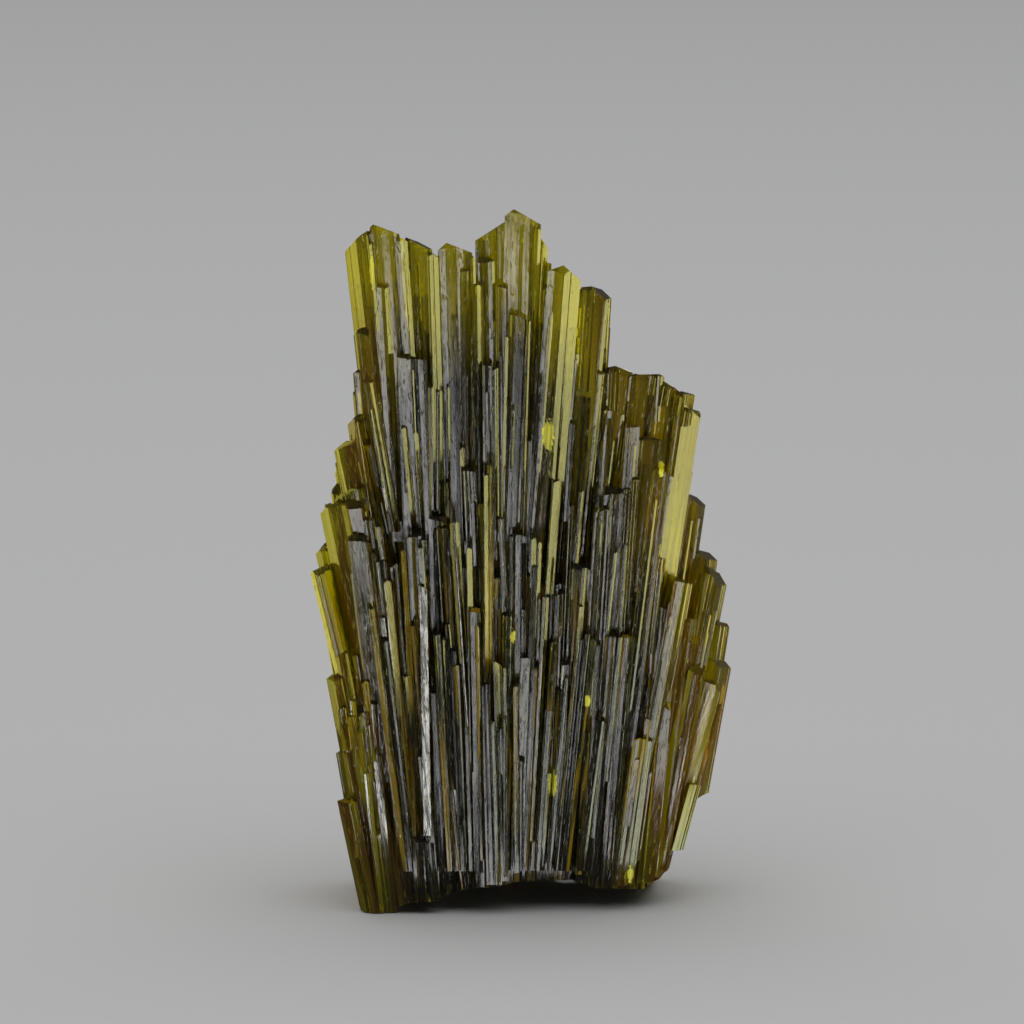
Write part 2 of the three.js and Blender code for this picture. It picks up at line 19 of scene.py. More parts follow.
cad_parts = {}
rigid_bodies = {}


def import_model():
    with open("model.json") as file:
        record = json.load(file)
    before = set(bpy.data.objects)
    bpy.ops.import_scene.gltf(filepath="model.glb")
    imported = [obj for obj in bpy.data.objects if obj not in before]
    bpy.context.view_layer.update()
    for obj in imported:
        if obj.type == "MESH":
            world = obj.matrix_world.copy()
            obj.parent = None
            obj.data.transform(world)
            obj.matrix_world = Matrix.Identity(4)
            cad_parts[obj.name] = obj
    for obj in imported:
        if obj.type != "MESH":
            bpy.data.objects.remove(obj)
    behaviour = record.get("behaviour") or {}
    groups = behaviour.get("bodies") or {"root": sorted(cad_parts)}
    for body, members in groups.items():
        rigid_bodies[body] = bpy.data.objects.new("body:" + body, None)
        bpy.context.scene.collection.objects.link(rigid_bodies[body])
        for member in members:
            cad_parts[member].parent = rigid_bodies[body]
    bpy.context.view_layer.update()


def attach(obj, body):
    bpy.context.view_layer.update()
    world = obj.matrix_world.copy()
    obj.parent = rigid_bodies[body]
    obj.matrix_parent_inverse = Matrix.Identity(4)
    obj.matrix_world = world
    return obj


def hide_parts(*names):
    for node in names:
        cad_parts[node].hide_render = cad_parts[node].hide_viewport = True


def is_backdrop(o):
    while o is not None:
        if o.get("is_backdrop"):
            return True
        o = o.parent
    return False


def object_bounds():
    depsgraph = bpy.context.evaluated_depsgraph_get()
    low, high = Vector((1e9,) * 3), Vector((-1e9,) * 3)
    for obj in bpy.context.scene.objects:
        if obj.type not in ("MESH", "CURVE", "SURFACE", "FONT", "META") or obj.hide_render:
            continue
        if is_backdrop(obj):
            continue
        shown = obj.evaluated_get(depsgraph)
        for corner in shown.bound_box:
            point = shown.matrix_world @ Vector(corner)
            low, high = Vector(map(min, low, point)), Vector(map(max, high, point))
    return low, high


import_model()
MM = 0.001

# %% [markdown]
# ## The drawing sheet
#
# The crystals are placed on a front drawing, in millimetres across and down from its top left
# corner, at real size. The drawing looks down on the cluster a little. A third number, the level,
# says how deep a crystal's front face lies. Reading places off a drawing and working the depth out
# by a formula keeps three hundred crystals where they belong with three numbers each.

# %% From the sheet to the model
SHEET_MIDDLE = 51.5  # across: the middle of the cluster
SHEET_GROUND = 89.9  # down: a point on the ground, straight below the middle of the depth
LOOK_DOWN = math.radians(9.5)
VIEW_DISTANCE = 1000  # from the eye to the middle of the cluster
BOX_MIDDLE = Vector((0.1, 0.77, 0))  # where the middle of the cluster's box comes out
FAN_POINT = (49.2, 155.5)  # crystals that no row places by hand point away from here
FOOT_DOWN = 93  # a crystal that runs down to this place on the sheet reaches past the ground
DEPTH_FAN = 0.004  # how fast depths grow towards the top, for each millimetre up the sheet
DEPTH_LEVEL = 62  # where on the sheet the levels are true depths


def from_sheet(across, down, level):
    """The point of the cluster that is seen at (across, down) on the sheet, in mm."""
    depth = level * (1 + (DEPTH_LEVEL - down) * DEPTH_FAN)
    nearer = 1 + depth / VIEW_DISTANCE
    rise = (SHEET_GROUND - down) * nearer
    z = (rise - depth * math.sin(LOOK_DOWN)) / math.cos(LOOK_DOWN)
    return Vector(((across - SHEET_MIDDLE) * nearer, depth, z))


print("the crown's tip, mm:", [round(v, 1) for v in from_sheet(51.4, 20.9, -3.7)])

# %% [markdown]
# ## A ribbed prism
#
# The faces of an epidote prism are never smooth: they are ribbed lengthways, because the crystal
# kept switching between two faces as it grew. The ribs are what the eye sees first, so they are
# real geometry. The cross-section starts as a plain six-sided outline, and each side is then
# broken into strips that lie a few hundredths of a millimetre deeper or shallower, with a steep
# step between them. Pushed along its length, each step is a long thin face that catches light.

# %% The plain cross-section
BEVEL_DEPTH = math.tan(math.radians(33))  # side faces turn 33 degrees out of the front face
BACK_TAPER = 0.22  # how much narrower a prism is at its back, as a share of its width
BACK_ROOM = 0.3  # mm, the least that the back lies behind the side faces


def outline(wide, thick, left, right):
    """The plain cross-section, anticlockwise: x across, y from the front face back."""
    left, right, half = left * wide, right * wide, wide / 2  # shares become mm
    deep = max(thick, max(left, right) * BEVEL_DEPTH + BACK_ROOM)
    back = half - BACK_TAPER * wide
    corners = [(-back, deep), (-half, left * BEVEL_DEPTH)]
    corners += [(-half + left, 0)] * (left > 0) + [(half - right, 0)] * (right > 0)
    return [Vector(c) for c in corners + [(half, right * BEVEL_DEPTH), (back, deep)]]


section = outline(3, 6, 0, 0.5)
print("a section with a right side face:", [(round(c.x, 2), round(c.y, 2)) for c in section])

# %% The ribs on it
RIB_PITCH = 0.22  # mm, the usual width of a strip
RIB_WIDTHS = (0.35, 1.7)  # the narrowest and the widest strip, as shares of that
LAST_RIB = 0.4  # the least that is left for the last strip of a side, as a share of it too
RIB_DEPTH = 0.14  # mm, how deep the deepest strip lies
RIB_TILT = 9  # degrees, how far the strips are turned out of the face, mostly
NARROW_FACE = 2.3  # mm; faces narrower than this, beside the front, have shallower ribs
NARROW_RIBS = 0.6  # how deep those are, compared with the others
STEP_SLOPE = 0.62  # width of a step for each millimetre that it goes down
STEP_WIDTH = 0.015  # mm, the least width of a step
STEP_CHANCE = 0.6  # how many of the strips end in a step
STEP_BIAS = 1.5  # above 1, shallow steps are more frequent than deep ones
SIDE_SLANT = 0.1  # a side of the outline that slants less than this is the front or the back


def ribbed(corners, pitch, deepest, tilt, rng):
    """The same outline, its sides broken into strips, each a little tilted, with steps between."""
    points = []
    for here, there in zip(corners, corners[1:] + corners[:1]):
        run = there - here
        length = run.length
        along, inwards = run / length, Vector((-run.y, run.x)) / length
        depth = deepest
        if abs(along.y) >= SIDE_SLANT:
            depth = RIB_DEPTH if length > NARROW_FACE else deepest * NARROW_RIBS
        points.append(here)
        at, level = 0, 0
        while True:
            wide = pitch * rng.uniform(*RIB_WIDTHS)
            if at + wide > length - LAST_RIB * pitch:
                break
            at += wide
            slope = math.tan(math.radians(rng.gauss(0, tilt)))
            level = min(max(level + slope * wide, 0), depth)
            points.append(here + along * at + inwards * level)
            if rng.random() < STEP_CHANCE:
                deeper = depth * rng.random() ** STEP_BIAS
                at += STEP_SLOPE * abs(deeper - level) + STEP_WIDTH
                level = deeper
                points.append(here + along * at + inwards * level)
    return points


ribs = ribbed(section, RIB_PITCH, RIB_DEPTH, RIB_TILT, random.Random(1))
print("the ribbed section has", len(ribs), "corners")

# %% [markdown]
# ## Cutting a crystal to length
#
# A crystal is the ribbed outline pushed along its length and then cut with planes, as a knife
# would: two end faces that meet in a ridge like a roof, a small face that slopes to the front, and
# a flat end below. Cutting with planes keeps every face flat whatever the ribs do.

# %% Push and cut
def cut_beyond(bm, outwards, point):
    """Cuts away what lies beyond a plane through point, and closes the cut."""
    everything = bm.verts[:] + bm.edges[:] + bm.faces[:]
    bmesh.ops.bisect_plane(bm, geom=everything, plane_co=point, plane_no=outwards,
                           clear_outer=True)
    bmesh.ops.holes_fill(bm, edges=[e for e in bm.edges if e.is_boundary], sides=0)


def prism(points, low, high):
    """The outline pushed from z = low to z = high."""
    bm = bmesh.new()
    below = [bm.verts.new((p.x, p.y, low)) for p in points]
    above = [bm.verts.new((p.x, p.y, high)) for p in points]
    bm.faces.new(below[::-1])
    bm.faces.new(above)
    for i, corner in enumerate(below):
        nxt = (i + 1) % len(below)
        bm.faces.new((corner, below[nxt], above[nxt], above[i]))
    return bm


def keep(bm, name, collection):
    """Makes an object of the finished mesh, in a collection."""
    mesh = bpy.data.meshes.new(name)
    bm.to_mesh(mesh)
    bm.free()
    collection.objects.link(bpy.data.objects.new(name, mesh))


trial = prism(ribs, 0, 10)
cut_beyond(trial, Vector((0, 0.5, 1)).normalized(), Vector((0, 0, 8)))
print("pushed and cut, that section has", len(trial.faces), "faces")
trial.free()

# %% One crystal
FAN_TURNS = [(30, -20), (39, 0), (64, 0), (67.5, -14), (73, -20)]  # place on the sheet, degrees
FACING_SPREAD = 3  # degrees, how far a crystal turns away from that by chance
PLAIN_THICK = 1.2  # mm; without a thickness of its own, a crystal is this much thicker than wide
FINEST_RIBS = 0.35  # how large the ribs of the narrowest crystals are, as a share
RIBS_GROW_OVER = 3  # mm of width, over which that share grows by one
CUT_ROOM = 1.5  # mm, besides its width, that a prism has at both ends before it is cut
TIP_BACK_SLOPE = 0.2  # end faces fall away to the back by this much for each millimetre
RIDGE_INSIDE = 0.02  # nearer than this to its edge, a ridge has one end face only
BROAD = 1.6  # mm; on crystals broader than this the small front slope grows no further
FRONT_SLOPE = (0.2, 0.65)  # how far down the front that slope reaches, as a share of the width
FRONT_SLOPE_UP = (0.7, 1.3)  # how much it looks up, compared with forwards
FRONT_SLOPE_ASIDE = 0.3  # and how much to the side at most
crystals = bpy.data.collections.new("crystals")
grown = []  # what the laths need to know of each crystal


def outline_at(points, place):
    """Reads a line of (place, value) points between them."""
    place = min(max(place, points[0][0]), points[-1][0])
    for (x0, y0), (x1, y1) in zip(points, points[1:]):
        if place <= x1:
            return y0 + (y1 - y0) * (place - x0) / (x1 - x0)


def grow(top, low, wide, front, thick=None, left=0, right=0, turn=0, tip=(0.5, 0.15, 0.2), ribs=1):
    """One crystal. top and low are the middle of its ends on the sheet, front is its level.
    tip gives the ridge's place across the head, and the fall to its left and right."""
    rng = random.Random(len(grown) + 1)
    thick = thick or PLAIN_THICK + wide
    head, foot = from_sheet(*top, front), from_sheet(*low, front)
    length = (head - foot).length
    along = (head - foot).normalized()
    across = (Vector((1, 0, 0)) - along * along.x).normalized()
    facing = turn + outline_at(FAN_TURNS, top[0]) + rng.gauss(0, FACING_SPREAD)
    spin = Matrix.Rotation(math.radians(facing), 3, along)
    across, back = spin @ across, spin @ along.cross(across)
    fine = min(1, FINEST_RIBS + wide / RIBS_GROW_OVER)
    points = ribbed(outline(wide, thick, left, right), RIB_PITCH * fine / ribs,
                    RIB_DEPTH * fine * ribs, RIB_TILT * ribs, rng)
    bm = prism(points, -wide - CUT_ROOM, length + wide + CUT_ROOM)
    apex, left_fall, right_fall = tip
    ridge = Vector(((apex - 0.5) * wide, 0, length))
    if apex > RIDGE_INSIDE:
        left_face = Vector((-left_fall / (apex * wide), TIP_BACK_SLOPE, 1))
        cut_beyond(bm, left_face.normalized(), ridge)
    if apex < 1 - RIDGE_INSIDE:
        right_face = Vector((right_fall / ((1 - apex) * wide), TIP_BACK_SLOPE, 1))
        cut_beyond(bm, right_face.normalized(), ridge)
    chamfer = min(wide, BROAD) * rng.uniform(*FRONT_SLOPE)
    aside = rng.uniform(-FRONT_SLOPE_ASIDE, FRONT_SLOPE_ASIDE)
    front_face = Vector((aside, -1, rng.uniform(*FRONT_SLOPE_UP)))
    cut_beyond(bm, front_face.normalized(), ridge + Vector((0, 0, -chamfer)))
    bm.transform(Matrix.Translation(foot) @ Matrix((across, back, along)).transposed().to_4x4())
    cut_beyond(bm, Vector((0, 0, -1)), foot)
    keep(bm, f"crystal_{len(grown):03d}", crystals)
    grown.append(dict(foot=foot, along=along, across=across, back=back, length=length, wide=wide,
                      thick=thick, left=left, right=right, tip=tip, ribs=min(ribs, 1)))


# %% [markdown]
# ## The heart, the back and the flanks
#
# Behind the front stand eight broad crystals that carry it. They are turned a little to either
# side, away from the eye, so that the gaps in front of them stay dark. Then come four layers of
# crystals that nobody placed by hand: they fill the skyline from side to side, lower and lower
# towards the back, and all of them point away from one spot below the foot. Crystals on the flanks
# face left and right. A small random number generator with a fixed seed gives the same layers on
# every run.

# %% The heart
HEART = [  # across, down, across at the foot, width, level
    (35.6, 60, 38.6, 3.6, -5.4), (38.5, 56, 40.0, 5.0, -6.0), (42.5, 57, 43.2, 4.6, -6.4),
    (46.8, 56, 47.2, 5.0, -6.6), (51.0, 57, 51.0, 5.0, -6.4), (55.5, 58, 54.6, 5.2, -5.8),
    (60.0, 56, 58.6, 5.2, -5.2), (64.6, 60, 62.2, 4.6, -4.4),
]
HEART_THICK = 11  # mm
HEART_TURN = 13  # degrees, to the right and to the left by turns
for i, (across, down, foot, wide, level) in enumerate(HEART):
    grow((across, down), (foot, FOOT_DOWN), wide, level, HEART_THICK,
         turn=HEART_TURN * (-1) ** i, tip=(0.5, 0.6, 0.6))
print(len(grown), "crystals in the heart")

# %% Crystals by chance
CHANCE_FACTOR, CHANCE_STEP, CHANCE_RANGE = 1664525, 1013904223, 2**32
SIDE_FACES = (0.16, 0.3)  # of the width
RIDGE_PLACES = (0.2, 0.8)  # across the head
RIDGE_FALLS = (0.2, 1.2)  # mm, to either side
chance_state = 20  # the seed


def between(low, high):
    """A number from low to high, by the same small generator on every run."""
    global chance_state
    chance_state = (chance_state * CHANCE_FACTOR + CHANCE_STEP) % CHANCE_RANGE
    return low + (high - low) * chance_state / CHANCE_RANGE


def along_fan(across, down, low):
    """Where a crystal whose head is at (across, down) has its foot, at low on the sheet."""
    reach = (FAN_POINT[1] - low) / (FAN_POINT[1] - down)
    return FAN_POINT[0] + (across - FAN_POINT[0]) * reach


def grow_from_fan(across, down, wide, level, thick, turn):
    """A crystal that points away from the fan point and runs down to the foot."""
    foot = along_fan(across, down, FOOT_DOWN)
    left, right = between(*SIDE_FACES), between(*SIDE_FACES)
    tip = (between(*RIDGE_PLACES), between(*RIDGE_FALLS), between(*RIDGE_FALLS))
    grow((across, down), (foot, FOOT_DOWN), wide, level, thick, left, right, turn, tip)


print("a head at (40, 30) has its foot at", round(along_fan(40, 30, FOOT_DOWN), 1))

# %% Four layers at the back
SKYLINE = [  # across, down
    (31.0, 60), (32.5, 53), (34.2, 46), (35.0, 27), (38.0, 24.5), (43.0, 26.5), (47.5, 27),
    (51.5, 23.5), (54.0, 26.5), (57.5, 30), (59.8, 33), (61.5, 39), (66.5, 41), (69.0, 46),
    (70.8, 62),
]
LAYERS = [  # below is how far under the skyline they mostly end, besides LEAST_BELOW
    dict(level=-1.8, thick=5.5, below=1.6, wide=3.6, count=8, left=36.4, right=68.4),
    dict(level=1.0, thick=5.0, below=4.5, wide=3.7, count=8, left=36.0, right=68.6),
    dict(level=3.6, thick=4.5, below=12, wide=3.3, count=9, left=36.0, right=68.6),
    dict(level=6.2, thick=4.6, below=22, wide=3.3, count=8, left=36.8, right=67.6),
]
LEAST_BELOW = 0.7  # mm
BACK_TURN = 10  # degrees to either side at most
for layer in LAYERS:
    for i in range(layer["count"]):
        share = (i + between(0.35, 0.65)) / layer["count"]  # near the middle of its stretch
        across = layer["left"] + (layer["right"] - layer["left"]) * share
        half = layer["wide"] / 2
        highest = max(outline_at(SKYLINE, across - half), outline_at(SKYLINE, across + half))
        down = highest + layer["below"] * between(0.6, 1.3) + LEAST_BELOW
        wide = layer["wide"] * between(0.85, 1.3)
        thick = layer["thick"] * between(0.85, 1.15)
        turn = between(-BACK_TURN, BACK_TURN)
        grow_from_fan(across, down, wide, layer["level"], thick, turn)
print(len(grown), "crystals with the heart and the back")

# %% The flanks
LEFT_EDGE = [  # down, across
    (24, 34.6), (36, 35.8), (44, 33.6), (50, 31.9), (57, 31), (64, 32.6), (80, 34.2), (90, 36.6),
]
RIGHT_EDGE = [
    (30, 60.2), (38, 66.5), (41, 69), (50, 69), (57, 71), (68, 71.2), (80, 68.6), (90, 66),
]
FLANKS = [(LEFT_EDGE, 0.5, -76, 30), (RIGHT_EDGE, -0.5, 76, 42)]  # edge, inwards, turn, top
FLANK_LEVELS = [-1.2, 1.4, 4, 6.6, 9]
FLANK_HEADS = ((0, 22), (11,))  # mm below the top, by turns
FLANK_DROP = 4  # mm lower with each level towards the back
FLANK_THICK = 4  # mm
for edge, inwards, turn, high in FLANKS:
    for i, level in enumerate(FLANK_LEVELS):
        for lower in FLANK_HEADS[i % 2]:
            down = high + lower + i * FLANK_DROP + between(-3, 5)
            across = outline_at(edge, down) + inwards * (1 + i * 0.35)  # further in at the back
            wide = between(1.8, 3)
            grow_from_fan(across, down, wide, level, FLANK_THICK, turn + between(-9, 9))
print(len(grown), "with the flanks")

# %% [markdown]
# ## The crystals of the front
#
# Each row is one crystal: the middle of its head and of its lower end on the sheet, its width, the
# level of its front face, and what is special about it. thick is its size from front to back,
# turn faces it to the right, and left and right give it a side face on that side, as a share of
# its width. A side face on the right catches the main light, so those rows become the pale bands
# of the finished cluster. tip shapes the head, and ribs below 1 makes a smoother crystal. Where
# crystals show is decided one by one here, because no rule gives this cluster's own skyline.
#
# The crown is a row of broad crystals whose slanted heads make the skyline, with a few thin ones
# in front of the seams.

# %% The crown
grow((35.4, 23.0), (38.8, 54), 2.9, -3.2, thick=6, left=0.55, turn=-6, tip=(1, 2.1, 0))
grow((38.4, 22.3), (40.8, 54), 3.0, -3.6, thick=6, tip=(0.15, 0.4, 1.2), ribs=0.5)
grow((37.1, 24.2), (37.9, 33), 0.5, -4.4, thick=2, right=0.85)
grow((38.3, 28.2), (39.6, 52), 1.3, -4.3, right=0.35, tip=(0.3, 0.1, 0.4), ribs=0.5)
grow((40.2, 23.6), (41.3, 40), 1.1, -4.3, thick=2.5, right=0.45, tip=(0.3, 0.1, 0.5))
grow((41.6, 23.6), (43.0, 54), 2.5, -2.8, thick=5.5, turn=-6, tip=(0, 0, 1.4), ribs=0.5)
grow((43.3, 24.9), (43.8, 41), 1.2, -4.5, thick=3, left=0.1, right=0.8, tip=(0.05, 0.1, 0.8))
grow((45.5, 24.2), (46.4, 58), 3.4, -3.4, thick=6.5, turn=2, tip=(0.25, 0.8, 1.1), ribs=0.5)
grow((46.5, 26.8), (46.7, 48), 1.0, -4.2, thick=2)
grow((47.7, 28.2), (48.1, 53), 0.9, -5.0, thick=2.5, left=0.3, right=0.5, tip=(0.3, 0.2, 0.3))
grow((49.5, 22.1), (50.0, 54), 4.0, -2.6, thick=5.5, turn=-4, tip=(0.78, 2.0, 0.1))
grow((48.5, 25.5), (48.9, 54), 1.4, -3.7, thick=3, tip=(0.3, 0.1, 0.3))
grow((50.2, 28.2), (50.2, 53), 1.2, -4.6, thick=3, left=0.25, tip=(0.5, 0.4, 0.3))
grow((52.3, 20.9), (51.6, 54), 3.6, -3.7, thick=6.5, turn=2, tip=(0.25, 0.7, 1.5), ribs=0.5)
grow((53.8, 22.6), (52.8, 44), 0.7, -4.2, thick=3, right=0.5, tip=(0.1, 0.1, 0.4))
grow((54.4, 23.9), (54.0, 32), 0.85, -2.6, thick=3, right=0.5, tip=(0.2, 0.1, 0.9))
grow((54.4, 26.2), (53.3, 50), 1.4, -2.4, thick=4, turn=-8, tip=(0.8, 0.3, 0.1))
grow((56.5, 26.4), (54.0, 59.3), 3.3, -4.8, thick=6.5, right=0.5, turn=3, tip=(0.45, 0.7, 1.4),
     ribs=0.9)
grow((59.3, 28.6), (57.6, 56), 2.7, -2.5, thick=5.5, turn=-8, tip=(0.4, 0.2, 1.3), ribs=0.5)
grow((60.6, 29.9), (59.8, 38), 0.55, -3.1, thick=3, right=0.6, tip=(0.4, 0.1, 0.3))
grow((60.1, 36.9), (58.2, 56.2), 0.7, -4.2, thick=3, left=0.2, right=0.5)
grow((61.7, 36.5), (60.4, 57), 2.7, -2.5, thick=6, turn=-11, tip=(0.4, 0.3, 0.5), ribs=0.5)
grow((64.7, 37.2), (62.2, 60), 3.2, -3.0, thick=6.5, turn=12, tip=(0.9, 0.3, 0.2), ribs=0.5)
grow((67.2, 37.6), (64.2, 60), 3.0, -3.5, thick=6.5, turn=26, tip=(0, 0, 1.7), ribs=0.5)
grow((69.0, 39.9), (65.3, 65.2), 2.4, -3.9, thick=5.5, right=0.72, turn=10, tip=(0, 0, 1.6),
     ribs=0.9)
print(len(grown), "with the crown")

# %% [markdown]
# Below the crown a second row starts, lower and further forward, as if the first had been dressed
# in shorter crystals. Two of its broad ones look straight at the eye and shine grey.

# %% Flutes below the crown
grow((36.2, 32.6), (37.4, 43), 1.3, -3.9, tip=(0.4, 0.3, 0.3))
grow((35.9, 36.8), (36.4, 43), 1.2, -3.6, tip=(0.4, 0.4, 0.3))
grow((35.7, 38.9), (36.2, 45), 0.9, -3.4, left=0.4)
grow((36.9, 37.9), (39.5, 53), 1.1, -4.8, thick=3, right=0.4, tip=(0.6, 0.2, 0.1))
grow((41.2, 35.3), (42.1, 57), 2.9, -5.0, thick=5, turn=-1, tip=(0.3, 0.2, 0.5), ribs=0.5)
grow((40.4, 42.5), (41.4, 52.8), 0.65, -5.8, right=0.85)
grow((43.2, 38.4), (43.4, 52), 0.75, -5.2, left=0.2, right=0.5)
grow((44.0, 38.8), (44.0, 52), 0.6, -5.0, right=0.5)
grow((48.7, 36.0), (48.9, 66), 0.9, -5.2, thick=3)
grow((49.5, 36.4), (49.6, 52.8), 0.6, -5.6, right=0.5)
grow((51.8, 31.1), (50.8, 53.2), 1.8, -5.0, thick=4, left=0.2, turn=-3, tip=(0.2, 0.1, 0.7),
     ribs=0.5)
grow((57.2, 42.0), (56.6, 52), 0.8, -3.9, turn=-6)
grow((61.5, 43.6), (60.9, 48.6), 0.75, -4.6, right=0.85, turn=3, tip=(0.8, 0.6, 0))
grow((65.2, 43.4), (63.6, 59), 3.1, -4.8, thick=5, turn=-2, tip=(0.3, 0.5, 0.4), ribs=0.5)
grow((66.1, 46.5), (62.5, 75.6), 1.7, -6.2, thick=4.5, turn=6.5, tip=(0.4, 0.4, 0.6), ribs=0.5)
grow((63.6, 47.5), (62.6, 63), 0.8, -5.6, turn=10)
grow((66.2, 55.5), (65.2, 65.2), 0.6, -6.2, right=0.5)
print(len(grown), "with the flutes")

# %% [markdown]
# The left shoulder steps outwards and down, each crystal in front of the last, turned a little to
# the left. R, the last row here, is the brightest line of the cluster. It has hardly any ribs and
# is turned by a few degrees, to mirror a small lamp of its own.

# %% The left shoulder
grow((35.4, 41.3), (37.0, 54), 1.9, -3.8, thick=5, left=0.5, turn=-8, tip=(0.7, 1.0, 0.1))
grow((34.6, 43.9), (37.4, 57), 3.4, -4.4, thick=6, left=0.2, turn=-10, tip=(0.45, 0.9, 0.1))
grow((34.7, 48.7), (37.0, 60), 3.0, -5.8, thick=6, turn=-6, tip=(0.6, 0.7, 0.2))
grow((33.0, 50.1), (37.2, 71), 3.2, -7.2, thick=6.5, left=0.4, turn=-10, tip=(0.45, 0.9, 0.1),
     ribs=0.45)
grow((35.2, 49.7), (37.2, 62), 2.0, -7.0, turn=4, tip=(0.3, 0.1, 0.4), ribs=0.45)
grow((31.9, 54.7), (35.6, 71), 1.2, -5.6, thick=5, left=0.6, tip=(0.6, 0.4, 0.1), ribs=0.45)
grow((31.3, 56.4), (35.2, 72.4), 2.3, -6.2, thick=6, left=0.5, turn=-16, tip=(0.9, 0.7, 0),
     ribs=0.45)
grow((36.8, 51.3), (37.8, 60), 1.1, -7.4, tip=(0.3, 0.2, 0.4))
grow((37.7, 51.9), (38.6, 60), 0.9, -8.2, left=0.4, tip=(0.7, 0.4, 0.1))
grow((35.7, 53.0), (38.9, 78), 2.0, -8.4, thick=5, turn=5, tip=(0.4, 0.2, 0.6), ribs=0.45)
grow((36.6, 53.8), (38.9, 70), 0.8, -8.0, turn=-4)
grow((38.0, 55.5), (40.1, 78), 0.95, -8.4, thick=3)
grow((38.7, 57.7), (41.0, 82), 0.7, -9.2, thick=3, right=0.85)
grow((39.7, 55.9), (41.1, 74), 0.55, -8.4, right=0.5)
grow((41.5, 52.9), (42.4, 72), 1.7, -8.0, thick=4, tip=(0.6, 0.4, 0.3))
grow((42.1, 54.2), (42.5, 60), 0.7, -9.0, right=0.4, tip=(0.5, 0.2, 0.4))
grow((42.3, 58.1), (42.7, 83.4), 0.75, -9.8, thick=2.5, turn=-7.8, tip=(0.1, 0.1, 0.5),
     ribs=0.15)  # R
print(len(grown), "with the left shoulder")

# %% [markdown]
# The lower half is fluted like an organ: long thin crystals side by side, most of them below a
# millimetre wide, which start at many heights and run down to the break.

# %% Long pipes in the middle
grow((43.8, 51.3), (44.8, 89), 1.9, -7.0, thick=5, tip=(0.3, 0.1, 0.1))
grow((43.9, 52.4), (44.5, 62), 0.55, -8.2, right=0.85, turn=3)
grow((44.5, 52.4), (45.9, 78), 0.6, -8.0, turn=8)
grow((45.4, 51.8), (47.3, 80), 0.9, -9.2, thick=3, left=0.25, right=0.4, tip=(0.6, 0.2, 0.1))
grow((46.9, 54.4), (47.3, 76), 0.6, -9.3, right=0.85)
grow((47.5, 60.4), (48.1, 88.6), 1.0, -9.9, thick=3, turn=4, tip=(0.5, 0.1, 0.1))
grow((46.9, 46.5), (47.4, 58), 1.2, -6.2, thick=4, turn=-3)
grow((48.5, 68.0), (49.1, 88.4), 0.85, -9.5, thick=3, tip=(0.9, 0.4, 0.1))
grow((50.1, 51.4), (50.6, 62), 0.6, -6.8, turn=-6)
grow((49.7, 65.7), (49.9, 73), 0.8, -10.4, thick=3, right=0.85, tip=(0.1, 0, 0.6))
grow((49.4, 71.7), (49.9, 88.4), 0.6, -10.7, thick=3, right=0.85)
grow((50.0, 72.3), (50.4, 88.0), 0.9, -10.2, thick=3)
grow((51.6, 68.0), (51.7, 87.2), 0.6, -9.7, thick=3, turn=4)
grow((52.1, 75.5), (52.0, 87.0), 0.8, -9.2, thick=3)
grow((52.0, 53.0), (51.9, 70), 1.3, -6.9, thick=3, turn=5, tip=(0.3, 0.1, 0.5))
grow((53.4, 53.4), (53.3, 58.5), 0.55, -7.8, right=0.85, turn=3)
grow((54.6, 59.3), (53.3, 84), 0.6, -8.0, thick=3, right=0.4)
grow((56.0, 59.0), (55.0, 86), 0.9, -7.0, thick=4, turn=-4)
grow((54.7, 77.0), (54.2, 86.6), 0.6, -8.4, right=0.3)
grow((56.6, 65.8), (55.6, 86.8), 0.8, -7.8, thick=3, turn=-6)
print(len(grown), "with the long pipes")

# %% The right front
grow((58.2, 48.7), (57.5, 57), 0.55, -6.4, right=0.5)
grow((59.7, 50.6), (58.9, 64), 0.6, -6.6, right=0.5)
grow((55.75, 47.6), (54.9, 59.2), 0.95, -7.2, thick=4, right=0.85)
grow((57.8, 56.1), (56.8, 80), 1.1, -7.2, thick=4, turn=-3)
grow((58.5, 56.4), (57.1, 74), 0.55, -7.7, right=0.5)
grow((60.4, 50.5), (58.4, 84), 1.0, -6.6, thick=4, turn=4)
grow((61.4, 48.4), (59.4, 82), 1.9, -5.6, thick=4.5, turn=-4, ribs=0.5)
grow((62.8, 48.5), (61.4, 72), 1.1, -5.4, thick=4, turn=-8)
grow((59.6, 64.0), (58.4, 87), 0.8, -7.8, thick=4, turn=5)
grow((58.8, 72.8), (57.9, 87.4), 0.6, -8.6, turn=12)
grow((61.2, 63.2), (59.3, 87.6), 1.3, -7.6, thick=4.5)
grow((62.8, 63.2), (60.7, 88), 1.4, -7.3, thick=4.5, turn=-6)
grow((68.1, 57.6), (64.5, 77), 1.2, -6.8, thick=4, turn=7.6, tip=(0.3, 0.1, 0.1), ribs=0.8)
grow((64.4, 73.6), (62.4, 88.6), 2.0, -8.7, thick=6, right=0.85, tip=(0.3, 0.3, 0.3), ribs=2)
grow((65.9, 68.5), (63.6, 86), 0.9, -6.2, thick=4)
print(len(grown), "with the right front")

# %% [markdown]
# The right flank is a bundle of smooth crystals that lean outwards, each a step lower than the one
# before. The left foot is short and thick, and reaches lowest of all.

